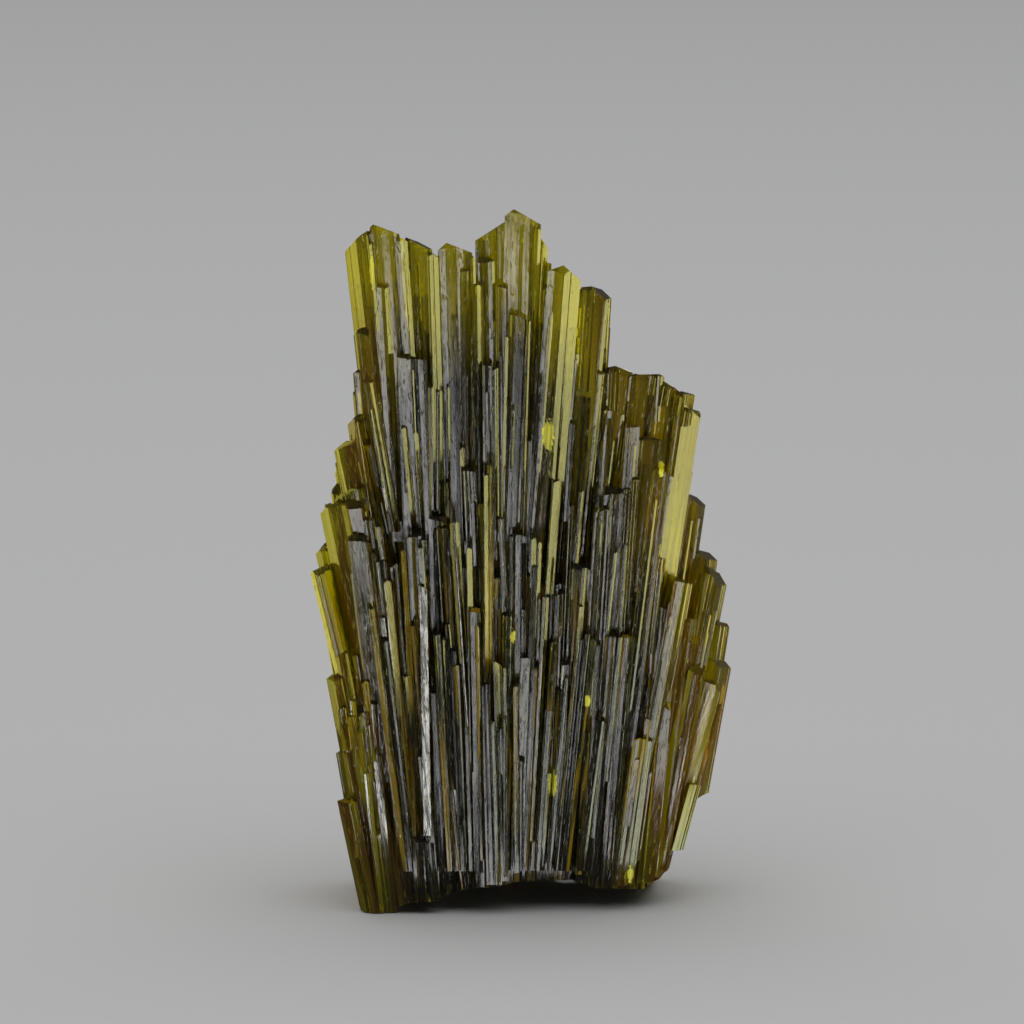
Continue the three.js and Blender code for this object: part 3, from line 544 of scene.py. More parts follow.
# %% The right flank
grow((69.2, 49.3), (67.4, 62), 1.8, -2.4, thick=4, turn=-4, tip=(0.1, 0, 1.0), ribs=0.45)
grow((69.9, 54.9), (66.4, 80), 2.0, -1.8, thick=5, turn=-4, tip=(0.3, 0.1, 0.9), ribs=0.45)
grow((71.4, 56.5), (66.9, 80), 1.8, -2.2, thick=5, turn=0, tip=(0, 0, 2.0), ribs=0.45)
grow((71.5, 62.0), (69.8, 73), 1.1, -1.2, thick=4, tip=(0.5, 0.4, 0.6), ribs=0.45)
grow((71.5, 65.8), (69.0, 80), 1.3, -1.6, thick=4, tip=(0.2, 0.1, 0.8), ribs=0.45)
grow((71.5, 68.0), (66.7, 86.4), 1.7, -2.4, thick=5, turn=8, tip=(0.4, 0.3, 1.2), ribs=0.45)
grow((69.7, 66.5), (66.0, 87.2), 1.5, -3.6, thick=5, turn=4, ribs=0.45)
grow((68.4, 61.5), (65.2, 87.8), 1.4, -4.4, thick=5, turn=-3, ribs=0.45)
grow((67.2, 63.5), (64.4, 88.4), 1.3, -5.2, thick=5, turn=3, ribs=0.45)
grow((69.7, 78.3), (67.9, 85.1), 1.25, -3.8, thick=3, right=0.2, turn=36)
grow((66.6, 70.0), (64.9, 88.2), 1.2, -5.8, thick=4, ribs=0.45)
print(len(grown), "with the right flank")

# %% The left foot
grow((34.0, 64.9), (35.6, 74), 1.4, -7.0, left=0.3, tip=(0.8, 0.7, 0.1))
grow((33.2, 67.2), (35.2, 78), 1.7, -7.0, thick=5, left=0.5, tip=(0.4, 0.4, 0.2))
grow((35.9, 70.3), (37.3, 78), 2.3, -8.8, thick=4, turn=12, tip=(0.6, 0.4, 0.5))
grow((34.1, 74.8), (36.5, 89), 1.5, -6.8, thick=4, left=0.5, tip=(0.5, 0.3, 0.1))
grow((36.3, 73.5), (39.3, FOOT_DOWN), 3.0, -8.2, thick=6, turn=-6, tip=(0.7, 0.3, 0.5))
grow((37.6, 75.0), (39.4, FOOT_DOWN), 0.8, -8.9, tip=(0.2, 0.1, 0.6))
grow((34.1, 79.7), (36.9, FOOT_DOWN), 1.5, -8.4, thick=6, left=0.4, turn=-12, tip=(0.5, 0.2, 0.1))
grow((35.1, 79.9), (37.7, FOOT_DOWN), 0.8, -9.2, thick=4)
grow((36.6, 77.0), (38.2, FOOT_DOWN), 0.6, -9.2)
grow((38.5, 66.6), (40.3, FOOT_DOWN), 0.8, -8.8, thick=4, turn=12)
grow((39.6, 69.0), (41.2, FOOT_DOWN), 1.8, -8.0, thick=5, turn=3)
grow((38.0, 82.8), (39.3, FOOT_DOWN), 1.9, -8.9, thick=4, tip=(0.3, 0.3, 0.5))
grow((40.2, 83.4), (40.9, FOOT_DOWN), 1.7, -9.2, thick=4, turn=3, tip=(0.5, 0.5, 0.3))
grow((42.2, 83.4), (42.8, FOOT_DOWN), 2.2, -9.6, thick=4.5, turn=4, tip=(0.6, 0.3, 0.2))
grow((43.9, 68.8), (44.9, 89.8), 1.7, -8.0, thick=5, turn=-4)
grow((45.4, 70.2), (46.1, 89.4), 1.0, -8.4, thick=4, turn=5)
grow((45.2, 78.5), (46.5, 88.9), 0.7, -9.3, turn=8)
print(len(grown), "with the left foot")

# %% [markdown]
# ## Needles, pipes and broken heads
#
# The lines of light in the cluster are its thinnest crystals. Needles half a millimetre wide are
# placed one by one where they show, and small pipes fill the lower half by chance: every second one
# faces the eye and shines, and the others are turned away and stay dark. On the flanks pipes cover
# the broad crystals in the same way. Two places are rough, the top of the right shoulder and a spot
# above the left foot, and get short broken heads.

# %% Needles
NEEDLES = [  # head, lower end, width, level, right side face, turn, and a thickness or none
    ((41.6, 43.0), (42.4, 53.8), 0.45, -5.6, 0.85, 0),
    ((44.8, 38.5), (44.9, 50), 0.35, -4.4, 0.85, 0),
    ((50.7, 33.5), (50.2, 53), 0.35, -5.2, 0.85, 0),
    ((52.9, 31.8), (52.2, 53.4), 0.35, -5.4, 0.5, 0),
    ((57.75, 35.2), (55.75, 58), 0.35, -3.1, 0.5, 0, 0.7),
    ((60.6, 40.8), (60.1, 44), 0.4, -3.6, 0.85, 0), ((62.3, 41.2), (61.4, 47), 0.35, -3.9, 0.5, 0),
    ((37.3, 54.9), (38.2, 63), 0.4, -8.6, 0, 12), ((41.6, 61.4), (42.0, 84), 0.45, -8.8, 0, 8),
    ((44.6, 48.0), (44.8, 53), 0.4, -5.8, 0.85, 0), ((49.1, 46.0), (49.2, 67), 0.45, -8.5, 0, 6),
    ((50.4, 66.4), (50.5, 72), 0.4, -10.1, 0.5, 0),
    ((50.6, 71.2), (50.6, 87.6), 0.45, -10.5, 0.85, 0),
    ((51.0, 53.2), (51.1, 66), 0.45, -7.3, 0, 10), ((54.0, 53.9), (53.8, 59), 0.4, -7.5, 0.85, 0),
    ((61.6, 54.8), (60.2, 68), 0.35, -7.2, 0.5, 0), ((62.1, 63.3), (60.6, 78), 0.4, -8.0, 0.5, 0),
    ((68.8, 58.0), (66.9, 69), 0.4, -5.6, 0.5, 0), ((47.3, 25.5), (47.4, 30), 0.5, -4.2, 0.5, 0),
    ((49.2, 25.8), (49.3, 32), 0.5, -4.2, 0.5, 0), ((46.2, 44.5), (46.5, 54), 0.5, -4.8, 0.85, 0),
    ((35.7, 41.8), (37.1, 51.5), 0.5, -5.0, 0.5, 0), ((40.3, 54.6), (41.2, 70), 0.5, -9.0, 0, 10),
    ((40.7, 60.3), (41.4, 84), 0.5, -9.0, 0, 8), ((44.7, 62.0), (45.6, 72), 0.5, -8.8, 0.4, 0),
    ((45.6, 71.9), (46.9, 88.4), 0.5, -9.2, 0.3, 0), ((48.2, 50.0), (48.5, 70), 0.5, -7.8, 0, 6),
    ((48.6, 47.0), (48.7, 69), 0.5, -8.7, 0.85, 0), ((55.9, 68.5), (55.2, 86.4), 0.5, -8.0, 0, 12),
    ((57.2, 50.3), (56.5, 66), 0.5, -6.2, 0.85, 0), ((69.1, 64.0), (68.5, 67), 0.5, -4.2, 0, 12),
    ((64.9, 71.6), (63.9, 79), 0.5, -7.0, 0.3, 0), ((35.4, 65.2), (36.4, 72), 0.5, -7.6, 0.4, 0),
]
for head, low_end, wide, level, right, turn, *thick in NEEDLES:
    grow(head, low_end, wide, level, *thick, right=right, turn=turn)
print(len(grown), "with the needles")

# %% Small pipes on the flanks and in the lower half
FLANK_PIPES = 18  # on each side
FLANK_PIPE_THICK = 2.5
PIPE_BANDS = [  # between which places their heads lie, and the level of their front faces
    dict(left=50.4, right=54.4, highest=54, lowest=76, level=-7.6, count=11),
    dict(left=54.6, right=60.5, highest=58, lowest=80, level=-7.8, count=10),
    dict(left=43.4, right=50.0, highest=60, lowest=80, level=-8.9, count=8),
    dict(left=36.6, right=42.4, highest=60, lowest=80, level=-8.9, count=8),
]
PIPE_FOOT = 87  # down on the sheet, where the pipes of the lower half end
PIPE_THICK = 3
for edge, inwards, turn, high in FLANKS:
    for _ in range(FLANK_PIPES):
        level, down = between(-2, 9), between(high + 14, 84)
        across = outline_at(edge, down) + inwards * (1.1 + level * 0.14 - between(0.1, 0.9))
        wide = between(0.5, 1.4)
        grow_from_fan(across, down, wide, level, FLANK_PIPE_THICK, turn + between(-12, 12))
for band in PIPE_BANDS:
    for i in range(band["count"]):
        across = between(band["left"], band["right"])
        down = between(band["highest"], band["lowest"])
        foot = along_fan(across, down, PIPE_FOOT)
        wide, level = between(0.4, 0.9), band["level"] - between(0, 0.9)
        side = between(0.1, 0.4)
        shining, dark = between(-4, 4), between(11, 20)  # degrees
        grow((across, down), (foot, PIPE_FOOT), wide, level, PIPE_THICK, right=side,
             turn=(shining, dark)[i % 2], tip=(between(*RIDGE_PLACES), 0.2, 0.3), ribs=0.6)
print(len(grown), "with the pipes")

# %% Broken heads on the right shoulder and above the left foot
grow((61.4, 36.5), (61.2, 41), 1.0, -3.0, thick=3, turn=-13, tip=(0.3, 0.2, 0.4))
grow((63.3, 37.2), (63.0, 40), 0.8, -3.4, thick=3, turn=-13, tip=(0.7, 0.3, 0.1))
grow((65.3, 37.4), (65.0, 39.4), 0.7, -3.5, thick=3, turn=-13, tip=(0.4, 0.2, 0.3))
grow((66.0, 37.3), (65.7, 42), 0.55, -3.8, thick=3, right=0.4, tip=(0.4, 0.2, 0.3))
grow((66.5, 38.3), (66.1, 40.5), 0.9, -4.0, thick=3, turn=-13, tip=(0.3, 0.1, 0.5))
grow((67.9, 38.9), (67.5, 41.5), 0.9, -4.1, thick=3, turn=-13, tip=(0.5, 0.3, 0.2))
grow((63.3, 42.2), (62.3, 58), 1.4, -5.1, thick=3, tip=(0.4, 0.1, 0.3), ribs=0.8)
grow((68.6, 40.6), (68.3, 42.5), 0.7, -4.2, thick=3, turn=-13, tip=(0.5, 0.3, 0.6))
CHIPS = [  # across, down, level
    (34.1, 70.4, -8.0), (35.2, 69.6, -8.9), (36.2, 70.9, -9.3), (35.0, 71.3, -9.3),
    (36.8, 72.0, -9.2), (34.4, 72.2, -8.6), (35.7, 72.6, -9.4), (36.4, 67.8, -9.0),
    (37.3, 69.9, -9.1),
]
CHIP_THICK = 3
CHIP_FALLS = (0.1, 0.6)  # mm, to either side of the ridge
for across, down, level in CHIPS:
    foot = across + between(0.2, 0.6), down + between(2.5, 5)
    grow((across, down), foot, between(0.5, 0.9), level, CHIP_THICK, turn=between(-14, 0),
         tip=(between(*RIDGE_PLACES), between(*CHIP_FALLS), between(*CHIP_FALLS)))
print(len(grown), "crystals grown in all")

# %% [markdown]
# ## Laths
#
# Look closely at one big crystal, and its front is made of thinner ones: laths that run along it,
# each with a small head of its own, some ending high and some low. They repeat by the hundred, so
# Geometry Nodes make them. Each lath is one point with three arrows on it, along, across and size,
# and the tree puts one of a few plain laths there.

# %% Where the laths go
LATH_SPACING = 0.75  # mm of crystal width for each lath
LATH_WIDTHS = (0.22, 0.6)  # mm
LATH_THICK = 0.9  # mm, most of it inside the crystal
LATH_OUT = (0.03, 0.35)  # mm, how far a lath stands out of the face that it lies on
LATH_BELOW = 0.5  # mm, how far its head at least is below the crystal's head
LATH_DROP, LATH_RISE = 6, 5  # mm, how much further its ends mostly are from head and foot
LATH_SHORTEST = 3  # mm; one that comes out shorter is left out
LATH_LEAN = 0.006  # how far it may lean sideways, as a slope
NARROWEST = 0.9  # mm, the narrowest crystal that carries laths
SIDES_FROM = 1.8  # mm, and the narrowest that has them on its sides
OUTER = 13  # mm from the middle, from where narrower crystals have them on their sides too
SIDE_CROWDING = 0.8  # how many laths the sides and the back have, compared with the front
lath_rng = random.Random(7)


def head_drop(crystal, x):
    """How far below its ridge a crystal's head lies at x."""
    apex, left_fall, right_fall = crystal["tip"]
    beyond = x / crystal["wide"] + 0.5 - apex
    return right_fall * beyond / (1 - apex) if beyond > 0 else -left_fall * beyond / apex


def laths_on(crystal, here, there, crowding):
    """Points for the laths on one face of a crystal, between two corners of its section."""
    points = []
    run = there - here
    step = run / run.length
    inwards = Vector((-step.y, step.x))
    across = crystal["across"] * step.x + crystal["back"] * step.y
    for _ in range(int(run.length * crowding / LATH_SPACING + lath_rng.random())):
        wide = lath_rng.uniform(*LATH_WIDTHS)
        spot = here + step * lath_rng.uniform(wide / 2, max(run.length - wide / 2, wide / 2))
        head = head_drop(crystal, spot.x) + spot.y * TIP_BACK_SLOPE + LATH_BELOW
        drop = head + lath_rng.expovariate(1 / LATH_DROP)
        rise = lath_rng.expovariate(1 / LATH_RISE)
        length = crystal["length"] - drop - rise
        if length < LATH_SHORTEST:
            continue
        spot -= inwards * lath_rng.uniform(*LATH_OUT)
        place = crystal["foot"] + crystal["across"] * spot.x + crystal["back"] * spot.y
        lean = across * lath_rng.uniform(-LATH_LEAN, LATH_LEAN)
        points.append((place + crystal["along"] * rise, (crystal["along"] + lean).normalized(),
                       across, Vector((wide, LATH_THICK, length))))
    return points


lath_points = []
for crystal in grown:
    if crystal["wide"] < NARROWEST:
        continue
    head = crystal["foot"] + crystal["along"] * crystal["length"]
    sides_too = crystal["thick"] < HEART_THICK
    sides_too = sides_too and (crystal["wide"] >= SIDES_FROM or abs(head.x) > OUTER)
    corners = outline(crystal["wide"], crystal["thick"], crystal["left"], crystal["right"])
    for here, there in zip(corners, corners[1:] + corners[:1]):
        length = (there - here).length
        if here.y == there.y == 0 and length > LATH_WIDTHS[1]:
            lath_points += laths_on(crystal, here, there, crystal["ribs"])
        elif sides_too and length > NARROW_FACE:
            lath_points += laths_on(crystal, here, there, SIDE_CROWDING)
print(len(lath_points), "laths")

# %% The points and the plain laths
lath_mesh = bpy.data.meshes.new("lath_points")
lath_mesh.from_pydata([p[0] for p in lath_points], [], [])
for name, at in (("along", 1), ("across", 2), ("size", 3)):
    values = lath_mesh.attributes.new(name, "FLOAT_VECTOR", "POINT")
    values.data.foreach_set("vector", [v for p in lath_points for v in p[at]])
lath_host = bpy.data.objects.new("lath_points", lath_mesh)
bpy.context.scene.collection.objects.link(lath_host)

LATH_SECTION = ((-0.4, 1), (-0.5, 0.12), (-0.42, 0), (0.12, 0), (0.5, 0.11), (0.4, 1))
LATH_UNCUT = 1.1  # a lath is one unit long until the tree stretches it, and longer before its cut
LATH_BACK_SLOPE = 0.004
plain_laths = bpy.data.collections.new("plain_laths")
for name, apex, fall in (  # where the head's ridge is, and how far it falls to either side
    ("left", 0.2, 0.02), ("middle", 0.45, 0.012), ("right", 0.8, 0.03), ("flat", 0.5, 0.004),
):
    bm = prism([Vector(c) for c in LATH_SECTION], 0, LATH_UNCUT)
    ridge = Vector((apex - 0.5, 0, 1))
    cut_beyond(bm, Vector((-fall / apex, LATH_BACK_SLOPE, 1)).normalized(), ridge)
    cut_beyond(bm, Vector((fall / (1 - apex), LATH_BACK_SLOPE, 1)).normalized(), ridge)
    keep(bm, "lath_" + name, plain_laths)

# %% [markdown]
# ## The foot
#
# The cluster was broken off its rock: it stands on two places, left and right, with a shallow arch
# between them. A saw with the profile of that break is pushed through from front to back, in the
# direction of view, and a block below the ground makes the standing places flat.

# %% What cuts the foot
BREAK = [  # across, down
    (39.4, 96), (39.7, 90.7), (41, 90.2), (43.6, 90.1), (44.4, 89.5), (46.4, 88.9), (50, 88.7),
    (51.4, 88.2), (57.2, 88.0), (59.6, 88.9), (64.2, 89.0), (66, 88.1), (67, 86.9), (67.4, 85.2),
    (73, 84.4), (73, 96),
]
BREAK_REACH = 20  # mm in front of and behind the middle
GROUND_HALF, GROUND_DEEP = 40, 20  # mm, of the block below the ground
CORNERS = ((-1, -1), (1, -1), (1, 1), (-1, 1))
break_collection = bpy.data.collections.new("break")
profile = [Vector((x - SHEET_MIDDLE, SHEET_GROUND - y)) for x, y in reversed(BREAK)]
arch = prism(profile, -BREAK_REACH, BREAK_REACH)
arch.transform(Matrix.Rotation(math.radians(90) - LOOK_DOWN, 4, "X"))
keep(arch, "arch", break_collection)
ground = prism([Vector(c) * GROUND_HALF for c in CORNERS], -GROUND_DEEP, 0)
keep(ground, "ground", break_collection)
print("the arch is", round(SHEET_GROUND - min(y for _, y in BREAK), 1), "mm high at most")

# %% [markdown]
# ## One solid
#
# Where crystals grew into each other there is no wall between them, and light must find none. So
# one tree lays the laths, unites them with the crystals and cuts the foot. The Manifold solver
# does this in seconds, because every piece is a closed mesh. A node is added by one small
# function, which takes its settings and what goes into its sockets.

# %% One function for nodes
def add_node(tree, kind, inputs=None, **settings):
    """Adds a node. inputs maps a socket's name or number to a value or another node's output."""
    made = tree.nodes.new(kind)
    for name, value in settings.items():
        setattr(made, name, value)
    for key, value in (inputs or {}).items():
        for one in value if isinstance(value, list) else [value]:
            if isinstance(one, bpy.types.NodeSocket):
                tree.links.new(one, made.inputs[key])
            else:
                made.inputs[key].default_value = one
    return made


# %% The tree's inputs
tree = bpy.data.node_groups.new("Laths and union", "GeometryNodeTree")
sockets = {}
for name, kind in (
    ("Geometry", "Geometry"), ("Crystals", "Collection"), ("Plain laths", "Collection"),
    ("Break", "Collection"), ("Lath width", "Float"), ("Lath turn", "Float"), ("Seed", "Int"),
    ("Scale to metres", "Float"), ("Box middle", "Vector"), ("Material", "Material"),
):
    socket = tree.interface.new_socket(name, in_out="INPUT", socket_type="NodeSocket" + kind)
    sockets[name] = socket.identifier
tree.interface.new_socket("Geometry", in_out="OUTPUT", socket_type="NodeSocketGeometry")
given = tree.nodes.new("NodeGroupInput").outputs
print("inputs:", ", ".join(sockets))

# %% Lay the laths
points = add_node(tree, "GeometryNodeMeshToPoints", {"Mesh": given["Geometry"]}).outputs[0]
arrow = {
    name: add_node(tree, "GeometryNodeInputNamedAttribute", {"Name": name},
                   data_type="FLOAT_VECTOR").outputs["Attribute"]
    for name in ("along", "across", "size")
}
upright = add_node(tree, "FunctionNodeAxesToRotation",
                   {"Primary Axis": arrow["along"], "Secondary Axis": arrow["across"]},
                   primary_axis="Z", secondary_axis="X").outputs[0]
other_way = add_node(tree, "ShaderNodeMath", {0: given["Lath turn"], 1: -1.0},
                     operation="MULTIPLY").outputs[0]
turn = add_node(tree, "FunctionNodeRandomValue",
                {"Min": other_way, "Max": given["Lath turn"], "Seed": given["Seed"]},
                data_type="FLOAT").outputs[1]
spin = add_node(tree, "FunctionNodeAxisAngleToRotation", {"Axis": (0, 0, 1), "Angle": turn})
turned = add_node(tree, "FunctionNodeRotateRotation",
                  {"Rotation": upright, "Rotate By": spin.outputs[0]},
                  rotation_space="LOCAL").outputs[0]
wide = add_node(tree, "ShaderNodeCombineXYZ",
                {"X": given["Lath width"], "Y": 1.0, "Z": 1.0}).outputs[0]
size = add_node(tree, "ShaderNodeVectorMath", {0: arrow["size"], 1: wide},
                operation="MULTIPLY").outputs[0]
plain = add_node(tree, "GeometryNodeCollectionInfo",
                 {"Collection": given["Plain laths"], "Separate Children": True}).outputs[0]
last_lath = len(plain_laths.objects) - 1
which = add_node(tree, "FunctionNodeRandomValue", {"Max": last_lath, "Seed": given["Seed"]},
                 data_type="INT").outputs[2]
laths = add_node(tree, "GeometryNodeInstanceOnPoints",
                 {"Points": points, "Instance": plain, "Pick Instance": True,
                  "Instance Index": which, "Rotation": turned, "Scale": size}).outputs[0]
print("each lath is one of", last_lath + 1)

# %% Unite, cut and size
big = add_node(tree, "GeometryNodeCollectionInfo",
               {"Collection": given["Crystals"], "Separate Children": True}).outputs[0]
united = add_node(tree, "GeometryNodeMeshBoolean", {"Mesh 2": [big, laths]},
                  operation="UNION", solver="MANIFOLD").outputs[0]
cutters = add_node(tree, "GeometryNodeCollectionInfo",
                   {"Collection": given["Break"], "Separate Children": True}).outputs[0]
broken = add_node(tree, "GeometryNodeMeshBoolean", {"Mesh 1": united, "Mesh 2": cutters},
                  operation="DIFFERENCE", solver="MANIFOLD").outputs[0]
minus = add_node(tree, "ShaderNodeVectorMath", {0: given["Box middle"], "Scale": -1.0},
                 operation="SCALE").outputs[0]
centred = add_node(tree, "GeometryNodeTransform",
                   {"Geometry": broken, "Translation": minus}).outputs[0]
sized = add_node(tree, "GeometryNodeTransform",
                 {"Geometry": centred, "Scale": given["Scale to metres"]}).outputs[0]
real = add_node(tree, "GeometryNodeRealizeInstances", {"Geometry": sized}).outputs[0]
done = add_node(tree, "GeometryNodeSetMaterial",
                {"Geometry": real, "Material": given["Material"]}).outputs[0]
add_node(tree, "NodeGroupOutput", {0: done})
print(len(tree.nodes), "nodes")

# %% Give the tree its inputs
epidote = bpy.data.materials.new("epidote_striated")
modifier = lath_host.modifiers.new("Laths and union", "NODES")
modifier.node_group = tree
for name, value in (  # a lath width of 1 leaves the widths as the points have them
    ("Crystals", crystals), ("Plain laths", plain_laths), ("Break", break_collection),
    ("Lath width", 1.0), ("Lath turn", math.radians(9)), ("Seed", 3), ("Scale to metres", MM),
    ("Box middle", BOX_MIDDLE), ("Material", epidote),
):
    modifier[sockets[name]] = value
print("the tree stands on", len(lath_mesh.vertices), "points")

# %% [markdown]
# The result is taken off the tree as a plain mesh. Small hollows may be left closed in between
# crystals, deep inside. Nobody sees them, but light would, so only the outer skin is kept.

# %% Take the finished solid
evaluated = lath_host.evaluated_get(bpy.context.evaluated_depsgraph_get())
solid_mesh = bpy.data.meshes.new_from_object(evaluated)
solid_mesh.name = "epidote_crystals"
lath_host.modifiers.clear()


def islands(bm):
    """The separate shells of a mesh, each a list of faces."""
    unseen, shells = set(bm.faces), []
    while unseen:
        shell, edge_of = [], [unseen.pop()]
        while edge_of:
            face = edge_of.pop()
            shell.append(face)
            for edge in face.edges:
                for other in edge.link_faces:
                    if other in unseen:
                        unseen.remove(other)
                        edge_of.append(other)
        shells.append(shell)
    return shells


bm = bmesh.new()
bm.from_mesh(solid_mesh)
shells = sorted(islands(bm), key=len)
hollows = [face for shell in shells[:-1] for face in shell]
bmesh.ops.delete(bm, geom=hollows, context="FACES")
open_edges = sum(not e.is_manifold for e in bm.edges)
bm.to_mesh(solid_mesh)
bm.free()
solid = bpy.data.objects.new("epidote_crystals", solid_mesh)
bpy.context.scene.collection.objects.link(solid)
triangles = sum(len(p.vertices) - 2 for p in solid_mesh.polygons)
print(triangles, "triangles,", open_edges, "open edges,", len(shells) - 1, "inner hollows closed")

# %% Clear away the parts it was made of, and tell the frame what it is
bpy.data.objects.remove(lath_host)
for collection in (crystals, plain_laths, break_collection):
    for piece in list(collection.objects):
        bpy.data.objects.remove(piece)
    bpy.data.collections.remove(collection)

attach(solid, "root")
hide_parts("crystals")
print(solid.name, "has", len(solid_mesh.vertices), "corners")

# %% [markdown]
# ## What epidote is made of, seen from outside
#
# Epidote is a clear mineral, yellow-green where it is thin and nearly black where it is thick. So
# the colour of the thick pieces comes from inside: the solid is see-through, and a plain volume
# takes light away the further it travels. Its faces shine like glass does, a little more strongly,
# because the index of refraction is 1.75. The dust in the gaps is a colour of the surface. The thin
# ends, the amber on some faces and a few bright spots are surface colours too, and they are painted
# light: the glow of light passing through the crystal, and light caught by flaws inside it.

# %% Colours, and the volume
def linear(hex_colour):
    """An sRGB hex colour as linear numbers."""
    parts = [int(hex_colour[i:i + 2], 16) / 255 for i in (1, 3, 5)]
    return (*(c / 12.92 if c <= 0.04045 else ((c + 0.055) / 1.055) ** 2.4 for c in parts), 1)


EPIDOTE_IOR = 1.75
DEPTH_COLOUR = "#B4AC00"  # what is left of white light is a yellow-green
DEPTH_DENSITY = 420  # for each metre: 5 mm take most of the light away
epidote.use_nodes = True
nodes = epidote.node_tree
nodes.nodes.clear()
absorption = add_node(nodes, "ShaderNodeVolumeAbsorption",
                      {"Color": linear(DEPTH_COLOUR), "Density": DEPTH_DENSITY})
print("volume colour, linear:", [round(c, 3) for c in linear(DEPTH_COLOUR)])

# %% [markdown]
# Everything on the surface is laid out in millimetres. Most patterns run along the crystals, which
# fan out, so their first direction is the angle about the fan point, measured as the distance
# across half way up.

# %% Places on the cluster, in mm
FAN_REACH = 100  # mm, from the fan point to half way up the cluster
fan_centre = from_sheet(*FAN_POINT, 0) - BOX_MIDDLE
at_object = add_node(nodes, "ShaderNodeTexCoord").outputs["Object"]
place = add_node(nodes, "ShaderNodeVectorMath", {0: at_object, "Scale": 1 / MM},
                 operation="SCALE").outputs[0]
x, y, z = add_node(nodes, "ShaderNodeSeparateXYZ", {0: place}).outputs
from_fan = add_node(nodes, "ShaderNodeVectorMath", {0: place, 1: fan_centre},
                    operation="SUBTRACT").outputs[0]
away = add_node(nodes, "ShaderNodeSeparateXYZ", {0: from_fan}).outputs
angle = add_node(nodes, "ShaderNodeMath", {0: away[0], 1: away[2]}, operation="ARCTAN2").outputs[0]
around = add_node(nodes, "ShaderNodeMath", {0: angle, 1: FAN_REACH},
                  operation="MULTIPLY").outputs[0]
in_fan = add_node(nodes, "ShaderNodeCombineXYZ", {0: around, 1: y, 2: z}).outputs[0]
print("fan centre, mm:", [round(v, 1) for v in fan_centre])

# %% The patterns
PATTERNS = (  # name, how many for each mm across, deep and up, detail, roughness
    ("streaks", (1.6, 1.6, 0.064), 3, 0.65),  # light and dark lines along the crystals
    ("amber", (0.55, 0.8, 0.048), 2, 0.5),  # where the painted amber glow lies; on the sides, amber or olive
    ("mottle", (3.2, 3.2, 0.25), 4, 0.7),  # dull and polished places
    ("dust", (1.1, 1.1, 0.33), 4, 0.8),  # where olive dust lies
    ("scratches", (7, 7, 0.28), 3, 0.7),  # hairlines along the crystals
    ("grain", (3, 3, 3), 2, 0.5),  # the ragged edge of the painted glints
    ("pits", (5, 5, 0.9), 1, 0.5),  # etch marks
)
pattern = {}
for name, rate, detail, roughness in PATTERNS:
    stretched = add_node(nodes, "ShaderNodeVectorMath", {0: in_fan, 1: rate},
                         operation="MULTIPLY").outputs[0]
    pattern[name] = add_node(nodes, "ShaderNodeTexNoise", {
        "Vector": stretched, "Scale": 1.0, "Detail": detail, "Roughness": roughness,
    }).outputs[0]
print("patterns:", ", ".join(pattern))

# %% [markdown]
# The thin ends of the crystals, at the top and on both sides, let most light through, and they are
# painted lighter. This is partly their own yellow-green and partly painted light: the glow of light
# passing through them. How near a place is to the outline is read off the same lines that the back
# and the flanks were grown by. The streaks push the border of each colour up and down, so that it
# follows the crystals instead of cutting across them.

# %% The tips and sides, painted lighter for the light through them
sky = [(p.x, p.z) for p in (from_sheet(a, d, -3) - BOX_MIDDLE for a, d in SKYLINE)]
sides_at = [
    [(p.z, p.x) for p in (from_sheet(a, d, -3) - BOX_MIDDLE for d, a in reversed(edge))]
    for edge in (LEFT_EDGE, RIGHT_EDGE)
]
edge_at = []
for along_edge, points in ((x, sky), (z, sides_at[0]), (z, sides_at[1])):
    made = add_node(nodes, "ShaderNodeFloatCurve", {"Value": along_edge})
    made.mapping.use_clip = False
    made.mapping.extend = "HORIZONTAL"
    line = made.mapping.curves[0]
    line.points[0].location, line.points[1].location = points[0], points[-1]
    for point in points[1:-1]:
        line.points.new(*point)
    for point in line.points:
        point.handle_type = "VECTOR"
    made.mapping.update()
    edge_at.append(made.outputs[0])

# painted light: these masks give the tips and sides the glow of light passing through them
light = []  # tips, left, right
for outer, inner, waver, none, full in (  # mm inside the outline; streaks are 0.5 on average
    (edge_at[0], z, 20, 23, 12), (x, edge_at[1], 8, 10.5, 6.5), (edge_at[2], x, 8, 11, 6.5),
):
    inside = add_node(nodes, "ShaderNodeMath", {0: outer, 1: inner},
                      operation="SUBTRACT").outputs[0]
    wavering = add_node(nodes, "ShaderNodeMath", {0: pattern["streaks"], 1: waver, 2: inside},
                        operation="MULTIPLY_ADD").outputs[0]
    light.append(add_node(nodes, "ShaderNodeMapRange", {0: wavering, 1: none, 2: full},
                          interpolation_type="SMOOTHSTEP").outputs[0])
tips = light[0]
sides = add_node(nodes, "ShaderNodeMath", {0: light[1], 1: light[2]},
                 operation="MAXIMUM").outputs[0]
clear = add_node(nodes, "ShaderNodeMath", {0: tips, 1: sides}, operation="MAXIMUM").outputs[0]
print("the tips' curve has", len(sky), "points, the sides' have", [len(p) for p in sides_at])

# %% [markdown]
# The amber of light passing through the crystals is painted on as a surface colour: painted light.
# On the real cluster it shows in the gaps and on faces that are turned aside, while the faces
# towards the eye mirror the lamps and stay grey. A face knows which way it points, so the painted
# amber goes where the normal leans sideways by 5 to 30 degrees, in the lower part, and where a slow
# pattern allows it. It fades out half way up the cluster.

# %% The painted amber glow
facing_side = add_node(nodes, "ShaderNodeSeparateXYZ", {
    0: add_node(nodes, "ShaderNodeNewGeometry").outputs["Normal"],
}).outputs[0]
turned = add_node(nodes, "ShaderNodeMath", {0: facing_side}, operation="ABSOLUTE").outputs[0]
